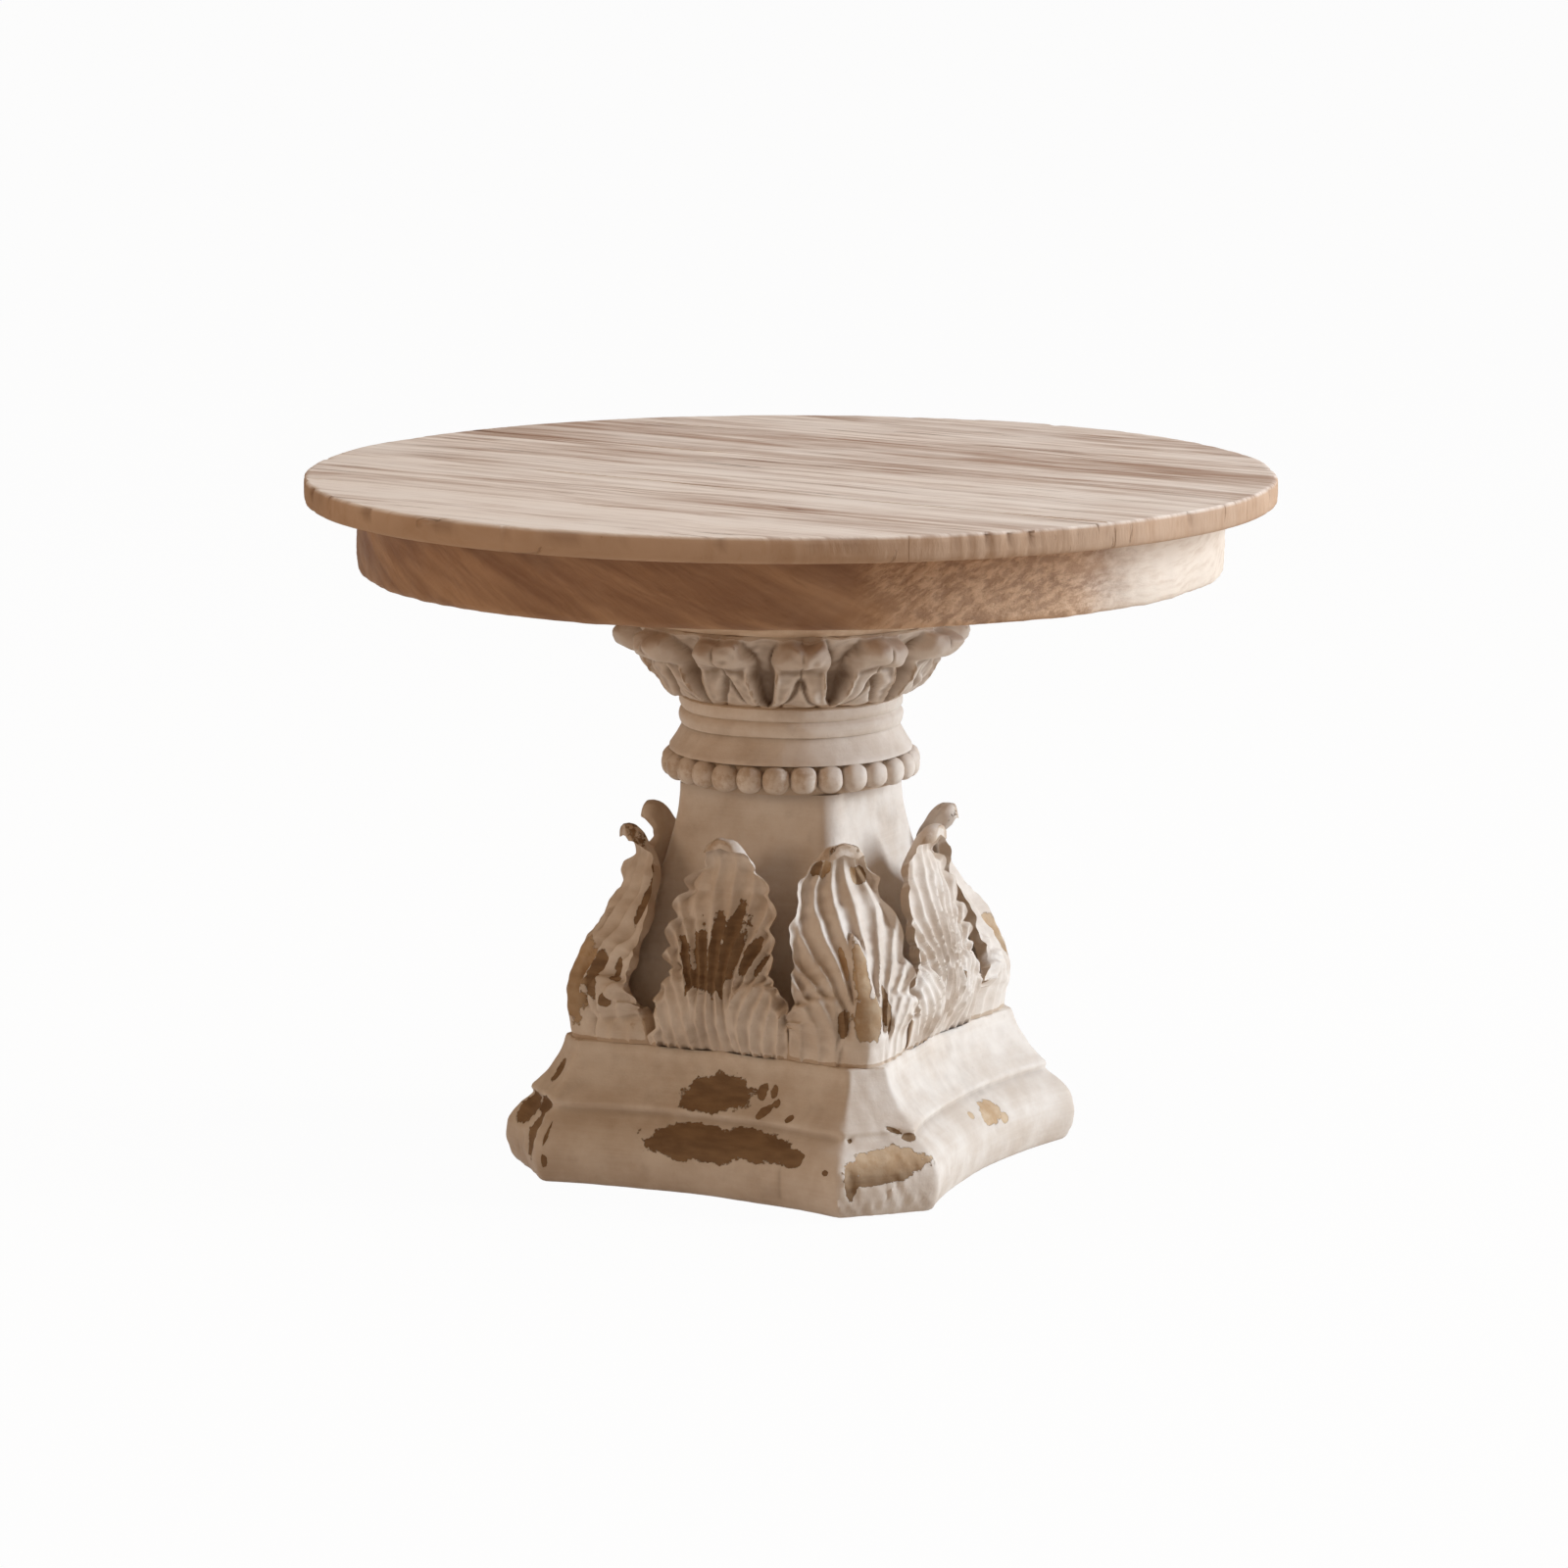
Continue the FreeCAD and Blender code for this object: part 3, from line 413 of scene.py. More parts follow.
# Half width, height and corner radius
shaft_stations = [(44.4, PLINTH_TOP, 7), (40.4, 60, 7), (36.6, 77, 6.5), (32.7, 92, 5.5), (30.2, 102, 5.5),
                  (28.3, 112, 5.5), (27.7, 118, 5.5), (27.5, SHAFT_TOP, 5.5)]
rings = []
bend = np.linspace(0, right_angle, 24)
for half, height, corner in run_of(shaft_stations, 60):
    flat = four_times(half - corner + corner * np.column_stack([np.cos(bend), np.sin(bend)]))
    closed = np.vstack([flat, flat[:1]])
    length = np.concatenate([[0], np.cumsum(np.linalg.norm(np.diff(closed, axis=0), axis=1))])
    even = np.linspace(0, length[-1], SHAFT_COLUMNS, endpoint=False)
    spread = [np.interp(even, length, column) for column in closed.T]
    rings.append(np.column_stack([*spread, np.full(SHAFT_COLUMNS, height)]))
rings = np.array(rings)
rings[..., :2] *= 1 + 0.004 * ripple(rings, 30, 41)[..., None]


def rod_bored(rings, foot, top):
    """Rings of a piece with the hole for the tie rod through it."""
    return np.concatenate([rings, bore_ring(rings[0], ROD_HOLE, top), bore_ring(rings[0], ROD_HOLE, foot)])


loop = rod_bored(rings, PLINTH_TOP, SHAFT_TOP)
# Painted shade darkens the shaft low down between the leaves, under the beads and on the +X face, which
# faces the key light and is rubbed as well
across, _, height = np.moveaxis(loop, -1, 0)
lit_face = ramp(across / 25)
soil_and_shade = ramp((88 - height) / 34) * 0.14 + ramp((height - 118) / 5) * 0.5
soil_and_shade = soil_and_shade + 0.13 * lit_face
rubbed = ramp((102 - height) / 14) * lit_face * 0.42
make_piece("painted_shaft", loop, grid_faces(*loop.shape[:2], over=True), PAINT, "cream_paint", "shaft",
           marks={"soil_and_shade": soil_and_shade, "rub": rubbed})


# Leaves: eight acanthus leaves carved in the round, four at the corners and four on the faces. Each is
# fluted with a gouge, drilled with eyes where its lobes meet, and glued to the shaft and the plinth.
LEAF_ROWS, LEAF_COLUMNS, BACK_COLUMNS = 116, 91, 27
FLUTE_PITCH, LEAF_SPLIT = 4.4, math.radians(25.2)
# How far apart the flutes are at each height: on a corner leaf they spread to the shoulder and draw in
# under the hood, and on a face leaf they fan out to the edge
corner_fan = ((43, 55, 62, 70, 78, 86, 92, 97, 101, 106),
              (0.8, 0.62, 0.68, 0.9, 1.15, 1.4, 1.5, 1.3, 1.0, 0.8))
face_fan = ((43, 58, 65, 72, 80, 86, 92, 97, 101, 106),
            (0.95, 0.72, 0.64, 0.78, 1.0, 1.17, 1.3, 1.38, 1.4, 1.35))
# Radius and height of the front, half width, fold back of the edges, flute depth and thickness
corner_stations = [
    (72.6, 43.5, 26, 18.6, 1.0, 12), (73.4, 48, 26, 17.8, 1.4, 11), (74.2, 53, 26, 16.6, 1.7, 9.5),
    (74.1, 58, 23, 14.8, 1.9, 8), (73.4, 61.5, 22, 13.6, 2.0, 7.2), (72.4, 65, 20.8, 12.2, 2.1, 6.5),
    (70.7, 69, 19.4, 11.2, 2.2, 5.8), (66.8, 76, 19.6, 9.8, 2.3, 5.2), (62.4, 82, 18.6, 8.2, 2.3, 4.8),
    (58.0, 88, 17.0, 6.6, 2.2, 4.4), (54.4, 94, 15.0, 5.0, 2.0, 4.0), (52.0, 98.5, 12.4, 3.6, 1.7, 3.6),
    (51.0, 101.8, 10.2, 2.4, 1.4, 3.3), (51.2, 104.4, 9.4, 1.6, 1.1, 3.0), (52.2, 106.6, 8.4, 1.0, 0.8, 2.8),
    (53.8, 107.7, 7.2, 0.8, 0.4, 2.8), (55.0, 107.7, 4.8, 0.6, 0.1, 2.4)]
face_stations = [
    (50.8, 43.5, 28, -1.2, 1.0, 9), (53.4, 48, 28, 0.0, 1.4, 9), (56.0, 53, 28, 1.4, 1.7, 8.5),
    (57.4, 58, 25.6, 2.6, 1.9, 8), (57.6, 61.5, 24.2, 3.2, 2.0, 7.4), (57.4, 65, 22.2, 3.6, 2.1, 6.8),
    (56.8, 69, 18.8, 4.0, 2.2, 6), (54.8, 76, 18.4, 4.2, 2.3, 5.5), (52.6, 82, 17.9, 4.0, 2.3, 5),
    (50.4, 88, 16.8, 3.6, 2.2, 4.6), (48.2, 94, 15.0, 3.0, 2.0, 4.0), (46.6, 98.5, 12.0, 2.3, 1.7, 3.6),
    (45.9, 101.8, 9.4, 1.6, 1.4, 3.3), (46.2, 104.4, 8.4, 1.1, 1.1, 3.0), (47.2, 106.8, 7.4, 0.8, 0.8, 2.8),
    (48.9, 108.0, 6.8, 0.7, 0.4, 2.8), (50.6, 108.0, 4.6, 0.6, 0.1, 2.4)]
# Lean of the tip, cuts in the foot and spread of the edges at the two sides, and bare patches
leaf_habits = {
    "corner_leaf_1": (-1.6, (0, 0), (0, 0), [
        (0.2, 59.5, 5.0, 7.6, 0), (-0.4, 72, 2.4, 9, 0), (-7.0, 58, 1.4, 5.5, 0), (7.4, 61, 1.4, 8, 0),
        (-4.4, 77, 0.9, 5, 0), (-5.5, 103, 3, 3, 0), (6.5, 100.5, 2.6, 2.6, 0)]),
    "corner_leaf_2": (0.6, (0, 0), (-7, 0), [(-3.2, 68, 1.6, 8, 0)]),
    "corner_leaf_3": (1.0, (0, 2), (0, 0), [(1.5, 64, 3.4, 11, 0), (-7.5, 60, 1.4, 5, 0)]),
    "corner_leaf_4": (-0.6, (0, 4), (0, 0), [
        (2, 62, 3.6, 13, 0), (7.4, 66, 2.4, 9, 0), (-2, 56, 3.0, 7, 0), (11.5, 58, 1.6, 3, 0),
        (13, 70, 1.6, 4, 0), (12.4, 94, 1.8, 10, 0)]),
    "face_leaf_1": (0.4, (4, 0), (0, 0), [
        (-10.8, 71, 2.7, 9, 0), (-5.4, 73, 2.3, 11, 0), (0.2, 75, 2.7, 13, 0), (4.4, 77, 3.0, 14, 0),
        (10.5, 76, 2.2, 6.5, 0), (15.5, 73.5, 1.7, 3.5, 0), (-2, 67.5, 8, 4, 0)]),
    "face_leaf_2": (3.2, (0, 0), (-2.5, 3.5), [(-4, 66, 1.1, 7, 0), (10, 61, 1.2, 3, 0)]),
    "face_leaf_3": (0.8, (1, 0), (0, 0), [(6, 72, 3.6, 11, 0), (-8, 70, 2.2, 7, 0), (12, 66, 1.6, 5, 0)]),
    "face_leaf_4": (0.9, (2, 0), (0, 0), [(-5, 76, 2.2, 8, 0), (4, 70, 3.0, 9, 0)])}


def spun(points, angle):
    """Points turned about the middle of the stand."""
    side, front = math.sin(angle), math.cos(angle)
    return points @ np.array([[front, side, 0], [-side, front, 0], [0, 0, 1]])


def toward_lit_side(points):
    """How far points lie towards the camera's right, the side that the key light falls on."""
    return points[..., 0] * 0.9 + points[..., 1] * 0.44


def carve_leaf(name, corner, facing, seed):
    """A leaf: a spine that bellies out, draws in and curls over, with flutes that fan up to a lobed edge."""
    lean, cuts, spread, spots = leaf_habits[name]
    stations, fan = (corner_stations, corner_fan) if corner else (face_stations, face_fan)
    spine = run_of(stations, LEAF_ROWS)
    radius, height, half, fold, depth, thickness = spine.T[..., None]
    slope = np.gradient(spine[:, :2], axis=0)
    slope /= np.linalg.norm(slope, axis=1, keepdims=True)
    slope[:6] = (0, 1)
    front_out, front_up = slope[:, 1:], -slope[:, :1]
    # Lobed edges, which differ at the two sides, held within the leaf's share of the round
    pitch = FLUTE_PITCH * np.interp(height, *fan)
    free = ramp((height - 66) / 5) * ramp((105 - height) / 5)
    sector = right_angle / 2 - LEAF_SPLIT if corner else LEAF_SPLIT
    limit = (radius - fold - 0.6) * math.tan(sector) - 0.06
    side_lobes, side_edges = [], []
    for side in range(2):
        drift = np.column_stack([height, 40 * side + 0 * height, 0 * height])
        if corner:
            waver = 0.8 * ripple(drift, 30, seed)[:, None]
            lobes = np.cos(2 * math.pi * (height - 72 - 3 * side) / 12.5 + waver)
        else:
            # Each flute of a face leaf ends in a lobe of its own
            waver = 0.1 * ripple(drift, 22, seed + 9)[:, None]
            lobes = 2 * abs(np.cos(math.pi * (half / pitch + waver))) - 1
        bumps = 1.4 * lobes + 0.5 * ripple(drift, 4.5, seed + 8)[:, None]
        gap = cuts[side] * ramp((height - 46.5) / 2.5) * ramp((76 - height) / 9)
        wider = spread[side] * ramp((height - 62) / 8) * ramp((101 - height) / 7)
        side_lobes.append(lobes)
        side_edges.append(np.minimum(half + free * bumps + wider, limit) - gap)
    # Points lie closer together towards the edges
    bunch = 0.72
    share = np.sin(np.linspace(-1, 1, LEAF_COLUMNS) * right_angle * bunch) / math.sin(right_angle * bunch)
    lobes = np.where(share < 0, *side_lobes)
    edge = np.where(share < 0, *side_edges)
    across = edge * share
    aside = abs(across)
    place = np.stack([across + 0 * radius, radius + 0 * across, height + 0 * across], axis=-1)
    hollow = np.sqrt(np.cos(math.pi * (across / pitch + 0.1 * ripple(place, 22, seed + 1))) ** 2 + 0.04)
    carve = depth * hollow
    # Lower lobes at each side of the foot stand proud, with flutes that curve outwards
    lobe_top = 68.5 - 0.075 * (aside - 14.5) ** 2 + 0.8 * ripple(place, 12, seed + 4)
    lobe = ramp((lobe_top - height) / 2) * ramp((aside - (7.5 if corner else 5)) / 2)
    lobe_flute = (aside - 0.010 * (height - 43) ** 2) / 4.2 + 0.1 * ripple(place, 18, seed + 5)
    lobe_hollow = np.sqrt(np.sin(math.pi * lobe_flute) ** 2 + 0.02)
    carve = carve * (1 - lobe) + lobe * (lobe_hollow * 1.5 - 1.0)
    carve = carve + 0.7 * swell(height - lobe_top - 1.3, 1.2) * ramp((aside - 7) / 3)
    # Plain block at the foot of a corner leaf, and a raised rim along the free edge
    plain = ramp((54.5 - height) / 2) * ramp((7.2 - aside) / 1.2) if corner else 0
    rib_half = np.interp(height, (52, 60, 66, 74, 82, 86), (5.2, 4.6, 3.6, 2.6, 1.4, -1)) if corner else -1
    rib = ramp(rib_half - aside + 0.5)
    rim = ramp((abs(share) - 0.86) / 0.14)
    raised = free * rim * (0.8 + 1.3 * (0.5 + 0.5 * lobes))
    carve = carve * (1 - plain) * (1 - rib) * (1 - 0.6 * rim * free) - raised
    foot_edge = ramp((abs(share) - 0.93) / 0.07) * (1 - free)
    carve = carve * (1 - foot_edge) + 0.6 * foot_edge
    # Drilled eyes where the lobes meet
    for eye_height, eye_place, eye_size in ((61, 0.95, 2.0), (55.5, 0.97, 1.4)):
        far = np.sqrt((aside - eye_place * edge) ** 2 + ((height - eye_height) / 1.4) ** 2) / eye_size
        carve = carve + ramp(1.25 - far) * eye_size * 1.6 - 0.35 * swell(far - 1.5, 0.35)
    curl = ramp((height - 103) / 3)
    carve = carve - (0.12 + 0.3 * curl) * ripple(place, 4, seed + 2) - 0.35 * ripple(place, 14, seed + 3)
    back = fold * abs(share) ** 1.5 + carve
    sway = lean * ramp((height - 66) / 40) ** 1.3
    # The hood is arched, so its sides hang lower than its middle
    arch = 3.2 * ramp((height - 96) / 10) ** 1.4
    front = np.stack([radius - front_out * back, across + sway,
                      height - front_up * back - arch * share ** 2], axis=-1)
    # The back follows the front, thinner to the edges
    back_share = np.linspace(1, -1, BACK_COLUMNS + 2)[1:-1]
    reach = fold * abs(back_share) ** 1.5 + thickness * (1 - 0.45 * abs(back_share) ** 3)
    back_across = np.where(back_share < 0, *side_edges) * back_share * 0.97
    lumps = np.stack([back_across, radius + 0 * reach, height + 0 * reach], axis=-1)
    reach = reach + 0.3 * curl * ripple(lumps, 5, seed + 6)
    rear = np.stack([radius - front_out * reach, back_across + sway,
                     height - front_up * reach - arch * back_share ** 2], axis=-1)
    rings = np.concatenate([front, rear], axis=1)
    middle = rings.mean(axis=1, keepdims=True) + np.zeros_like(rings)
    rings = spun(np.concatenate([middle[:1], rings, middle[-1:]]), math.radians(facing))
    # Paint is lost from the flutes before the ridges, and the tips are rubbed through to the ground
    bare = np.zeros(rings.shape[:2])
    along_flutes = across if corner else across / pitch * 3.7
    lost = patches(along_flutes, height + 0 * across, spots)
    bare[1:-1, :LEAF_COLUMNS] = lost * np.maximum(0.78 + 0.3 * hollow, rib)
    tip = ramp((height - 102) / 5)
    bare[1:-1, :] = np.maximum(bare[1:-1, :], tip * (0.46 if corner else 0.34))
    undercoat = np.zeros(bare.shape)
    if corner:
        undercoat[1:-1, :LEAF_COLUMNS] = (ramp((height - 64) / 6) * 0.35 + 0.55) * (aside < 5.5)
    # Painted light: less soil towards the lit side makes the leaves paler there
    soil_and_shade = -0.4 * ramp((toward_lit_side(rings) - 10) / 30)
    leaf = make_piece(f"carved_{name}", rings, grid_faces(*rings.shape[:2]), PAINT, "cream_paint", name,
                      marks={"bare": bare, "undercoat": undercoat, "soil_and_shade": soil_and_shade}, crease=60)
    weather_and_shade(leaf, 9, 0.75, 1.5)


for quarter in range(4):
    carve_leaf(f"corner_leaf_{quarter + 1}", True, 90 * quarter - 45, 50 + 7 * quarter)
    carve_leaf(f"face_leaf_{quarter + 1}", False, 90 * quarter - 90, 90 + 7 * quarter)


# Neck collar: turned from one piece, with a plain band, a groove, a ring with a fine fillet, and a flare
# that shelters the beads. It sits on the shaft by a spigot and is painted with the rest.
COLLAR_TOP, COLLAR_RADIUS = 150, 35
flare = run_of([(31.6, SHAFT_TOP), (31.8, 131.4), (34.8, 131.6), (38.0, 131.9), (38.4, 132.5), (37.8, 133.6),
                (36.4, 135.8), (35.2, 138.0), (34.4, 139.6), (34.2, 140.2)], 34)
lower_ring = run_of([(34.9, 140.5), (35.3, 141.4), (35.5, 142.8), (35.2, 144.2), (34.5, 145.0)], 14)
upper_ring = run_of([(34.3, 145.3), (34.9, 145.9), (35.3, 147.2), (35.2, 148.8), (34.8, 149.6),
                     (34.3, COLLAR_TOP)], 14)
outside = len(flare) + len(lower_ring) + len(upper_ring)
rings = turned(np.vstack([flare, lower_ring, upper_ring, (ROD_HOLE, COLLAR_TOP), (ROD_HOLE, SHAFT_TOP)]), 240)
uneven = 0.14 * ripple(rings, 26, 141) + 0.05 * ripple(rings, 5, 142)
rings[:outside, :, :2] *= 1 + (uneven[:outside] / COLLAR_RADIUS)[..., None]
rings[:outside, :, 2] += 0.16 * ripple(rings[:outside], 40, 143)
# Painted light: the collar is made paler towards the lit side
soil_and_shade = -0.3 * ramp((toward_lit_side(rings) - 8) / 16)
ring = make_piece("painted_collar", rings, grid_faces(*rings.shape[:2], over=True), PAINT, "cream_paint",
                  "neck_collar", marks={"soil_and_shade": soil_and_shade})
weather_and_shade(ring, 12, 0.9, 2.6)


# Bead ring: a hoop with a row of round beads, carved with a bead iron, slipped on below the flare.
# Handling has rubbed the paint on the beads down to a tan, less so on the lit side, as painted light.
BEADS, BEAD_CIRCLE, BEAD_MIDDLE = 28, 36.9, 127.5
HOOP_FOOT, HOOP_TOP = SHAFT_TOP + 0.2, 131.5
hoop = turned([(32.2, HOOP_FOOT), (35.4, HOOP_FOOT), (36, 124), (36, 131), (35.4, HOOP_TOP),
               (32.2, HOOP_TOP)], 168)
points, faces = [hoop.reshape(-1, 3)], [grid_faces(*hoop.shape[:2], over=True)]
chance = np.random.default_rng(7)
tilt = np.linspace(-right_angle, right_angle, 17)
for bead in range(BEADS):
    angle = 2 * math.pi * (bead + 0.5 + chance.uniform(-0.05, 0.05)) / BEADS
    ball = turned(np.column_stack([np.cos(tilt), np.sin(tilt)]), 26)
    ball = np.sign(ball) * abs(ball) ** 0.85
    ball = ball * (4.2, 4.35, 4.45) * chance.uniform(0.95, 1.02, 3)
    ball[..., 0] += BEAD_CIRCLE + chance.uniform(-0.25, 0.1)
    ball[..., 2] += BEAD_MIDDLE + chance.uniform(-0.25, 0.25)
    ball += 0.06 * ripple(ball + 50 * bead, 4, 160)[..., None]
    faces.append(grid_faces(*ball.shape[:2]) + sum(len(group) for group in points))
    points.append(spun(ball, angle).reshape(-1, 3))
points = np.concatenate(points)
out = np.hypot(points[:, 0], points[:, 1])
# Painted light: the beads are rubbed less towards the lit side, so they are paler there
lit_share = ramp((toward_lit_side(points) - 8) / 18)
wear_with_painted_light = np.where(out > 36.5, 0.36 - 0.34 * lit_share, 0)
# Painted shade darkens the hoop and the backs of the beads
painted_shade = np.where(out > 38, 0.05, 0.75)
beads = make_piece("painted_beads", points, np.concatenate(faces), PAINT, "cream_paint", "bead_ring",
                   marks={"rub": wear_with_painted_light, "soil_and_shade": painted_shade}, crease=60)
weather_and_shade(beads, 6, 0.7, 1.6)


# Capital: a hollow-sided bell carved with a ring of twelve curled leaves. Each leaf is a pair of lobes
# with a pointed tongue between them at the foot and a heavy brow that curls out; deep slots part them.
CAPITAL_FOOT, CAPITAL_TOP, CAPITAL_RADIUS = COLLAR_TOP + 0.1, 174.5, 45
CAPITAL_LEAVES, LEAF_STEPS, CAPITAL_ROWS = 12, 44, 70
leaf_line = run_of([(36.0, CAPITAL_FOOT), (39.6, 152), (42.9, 155.4), (45.0, 158.4), (46.5, 161.2),
                    (47.4, 163.0), (49.4, 164.0), (52.4, 164.6), (54.9, 165.9), (56.2, 167.8), (56.0, 169.8),
                    (54.4, 171.4), (51.8, 172.3), (50.2, 173), (50.4, CAPITAL_TOP)], CAPITAL_ROWS)
bell_line = run_of([(34.6, CAPITAL_FOOT), (34.9, 152.5), (35.8, 156), (37.6, 160), (40.2, 163.4),
                    (42.6, 166), (44.2, 167.6), (45.4, 168.8), (46.4, 169.8), (47.2, 170.6), (48.0, 171.4),
                    (48.7, 172.0), (49.3, 172.8), (50.0, 173.8), (50.4, CAPITAL_TOP)], CAPITAL_ROWS)
# Up a leaf from 0 to 1, and across its share of the round from -1 to 1
up = np.linspace(0, 1, CAPITAL_ROWS)[:, None]
sector = np.linspace(-1, 1, LEAF_STEPS, endpoint=False)
leaf_half = np.interp(up, (0, 0.03, 0.07, 0.12, 0.3, 0.42, 0.52, 0.62, 0.7, 0.8, 1),
                      (1.1, 1.0, 0.90, 0.82, 0.74, 0.69, 0.70, 0.70, 0.66, 0.58, 0.5))
body = ramp((leaf_half - abs(sector)) / 0.16 + 0.5)
body = body * body * (3 - 2 * body)
pillow = ramp(1 - (sector / (leaf_half + 0.1)) ** 2) ** 0.5
brow = swell(up - 0.66, 0.16)
body = body * (1 - brow) + pillow * brow
body = np.where(up > 0.8, body * ramp((1.0 - up) / 0.1) ** 0.5, body)
blend = body[..., None]
sections = leaf_line[:, None, :] * blend + bell_line[:, None, :] * (1 - blend)
# Tongue: a pointed flat between two gouged lines, below the lobes
tongue_half = 0.62 * ramp(1 - up / 0.44) ** 1.8 + 0.03
line = swell(abs(sector) - tongue_half, 0.07) * ramp((0.42 - up) / 0.08)
inside = ramp((tongue_half - abs(sector)) / 0.06)
lobe = ramp(1 - ((abs(sector) - 0.42) / 0.28) ** 2) * ramp(1 - abs(up - 0.28) / 0.34)
rim = swell(abs(sector) - leaf_half + 0.1, 0.07) * ramp((0.5 - up) / 0.08)
carved = -2.2 * line - 1.2 * inside + 0.3 * lobe + 0.6 * brow + 0.9 * rim
sections[..., 0] += carved * body
# The brow rises at its middle
wave = np.cos(sector * math.pi * 1.5)
sections[..., 1] += 0.5 * brow * body * wave - 0.3 * carved * body * (up > 0.3)
rings = np.zeros((CAPITAL_ROWS, CAPITAL_LEAVES * LEAF_STEPS, 3))
for leaf in range(CAPITAL_LEAVES):
    angle = 2 * math.pi * (leaf + sector / 2) / CAPITAL_LEAVES
    span = slice(leaf * LEAF_STEPS, (leaf + 1) * LEAF_STEPS)
    rings[:, span, 0] = sections[..., 0] * np.cos(angle)
    rings[:, span, 1] = sections[..., 0] * np.sin(angle)
    rings[:, span, 2] = sections[..., 1]
uneven = 0.6 * ripple(rings, 11, 171) + 0.22 * ripple(rings, 4, 172)
rings[1:-1, :, :2] *= 1 + (uneven[1:-1] / CAPITAL_RADIUS)[..., None]
rings[1:-1, :, 2] += 0.4 * ripple(rings[1:-1], 10, 173)
loop = rod_bored(rings, CAPITAL_FOOT, CAPITAL_TOP)
# Paint is rubbed off under the brows. Painted shade darkens the capital, least on the brows and most in the
# cuts and under the brows
bare, painted_shade = np.zeros(loop.shape[:2]), np.zeros(loop.shape[:2])
bare[:CAPITAL_ROWS] = 0.4 * (swell(up - 0.56, 0.10) * np.tile(body, (1, CAPITAL_LEAVES)))
cuts = (1 - body) * ramp((0.62 - up) / 0.2) + 0.7 * line
under_brow = swell(up - 0.47 + 0.07 * (sector / leaf_half) ** 2, 0.04) * body
painted_shade[:CAPITAL_ROWS] = 0.36 - 0.2 * ramp((up - 0.55) / 0.1)
painted_shade[:CAPITAL_ROWS] += np.tile(0.65 * cuts + 0.4 * under_brow, (1, CAPITAL_LEAVES))
bell = make_piece("carved_capital", loop, grid_faces(*loop.shape[:2], over=True), PAINT, "cream_paint",
                  "capital", marks={"bare": bare, "soil_and_shade": painted_shade}, crease=60)
weather_and_shade(bell, 10, 0.6, 1.6)


# Abacus: a turned block of tan wood between the capital and the apron, with a small cove at its foot.
# Four screws hold it up into the apron. It is left unpainted and lies mostly in the shade of the top.
ABACUS_TOP, GLUE_LINE, BOARD_TURN = 189.5, 0.05, -9.4
tan_wood = Finish("tan_wood")
fibre = tan_wood.mottle((40, 3, 3), detail=5, turn=(0, 0, BOARD_TURN))
wood = tan_wood.blend(fibre.step(0.3, 0.75), colour(0.70, 0.52, 0.37), colour(0.84, 0.68, 0.53))
tan_wood.surface(Base_Color=wood, Roughness=0.6 + 0.15 * fibre, Normal=tan_wood.relief(fibre, 0.3))
ABACUS_FOOT, ABACUS_HEAD = CAPITAL_TOP + GLUE_LINE, ABACUS_TOP - GLUE_LINE
outside = run_of([(50.3, ABACUS_FOOT), (51.2, 174.9), (52.4, 175.8), (53, 177.2), (53, 181), (53, 186),
                  (53, ABACUS_HEAD)], 26)
rings = turned(np.vstack([outside, (ROD_HOLE, ABACUS_HEAD), (ROD_HOLE, ABACUS_FOOT)]), 160)
rings[..., :2] *= 1 + 0.003 * ripple(rings, 20, 181)[..., None]
make_piece("tan_abacus", rings, grid_faces(*rings.shape[:2], over=True), tan_wood, "tan_wood", "abacus")


# Apron: a drum of brown wood, turned and left rough from the saw, screwed up into the boards of the top.
# Its grain leans, and towards the ends of the boards it is torn and fibrous. The side towards the key light
# is paler, partly from fading and partly as painted light.
APRON_TOP, APRON_RADIUS, INSERT_HOLE, INSERT_TOP, SEAT_GAP = 211.5, 135.5, 6.6, 204.5, 0.02
brown_wood = Finish("brown_wood")
bands = brown_wood.mottle((70, 70, 8), detail=4, turn=(0, 24, BOARD_TURN), distortion=0.8)
fibre = brown_wood.mottle((11, 11, 1.5), detail=5, turn=(0, 38, BOARD_TURN))
ragged = brown_wood.mottle((5, 5, 1.8), detail=6, roughness=0.65, turn=(0, -40, BOARD_TURN))
cloud = brown_wood.mottle(34, detail=3)
torn = (brown_wood.mark("torn") + (cloud - 0.5) * 0.8).step(0.2, 0.8)
wood = brown_wood.blend(bands.step(0.3, 0.72), colour(0.258, 0.13, 0.068), colour(0.465, 0.272, 0.155))
wood = brown_wood.blend(fibre.step(0.45, 0.8) * 0.35, wood, colour(0.22, 0.11, 0.055))
wood = brown_wood.blend(cloud.step(0.5, 0.8) * 0.3, wood, colour(0.58, 0.41, 0.28))
wood = brown_wood.blend(torn * (0.25 + 0.75 * ragged.step(0.42, 0.62)), wood, colour(0.645, 0.415, 0.26))
# Paler towards the lit side, partly from fading and partly as painted light
faded_and_lit = (brown_wood.mark("faded_and_lit") + (ragged - 0.5) * 0.5 + (cloud - 0.5) * 0.5).step(0.25, 0.75)
pale = brown_wood.blend(fibre.step(0.4, 0.75), colour(0.76, 0.64, 0.53), colour(0.64, 0.50, 0.39))
wood = brown_wood.blend(faded_and_lit, wood, pale)
brown_wood.surface(Base_Color=wood, Roughness=0.62 + 0.2 * ragged,
                   Normal=brown_wood.relief(fibre * 0.35 + ragged * (0.3 + torn), 0.6))
APRON_FOOT, APRON_HEAD = ABACUS_TOP + SEAT_GAP, APRON_TOP - SEAT_GAP
plain = [(APRON_RADIUS, height) for height in (192, 197, 203, 208, APRON_HEAD)]
outside = run_of([(133.6, APRON_FOOT), (134.6, 189.75), (135.3, 190.6), *plain], 30)
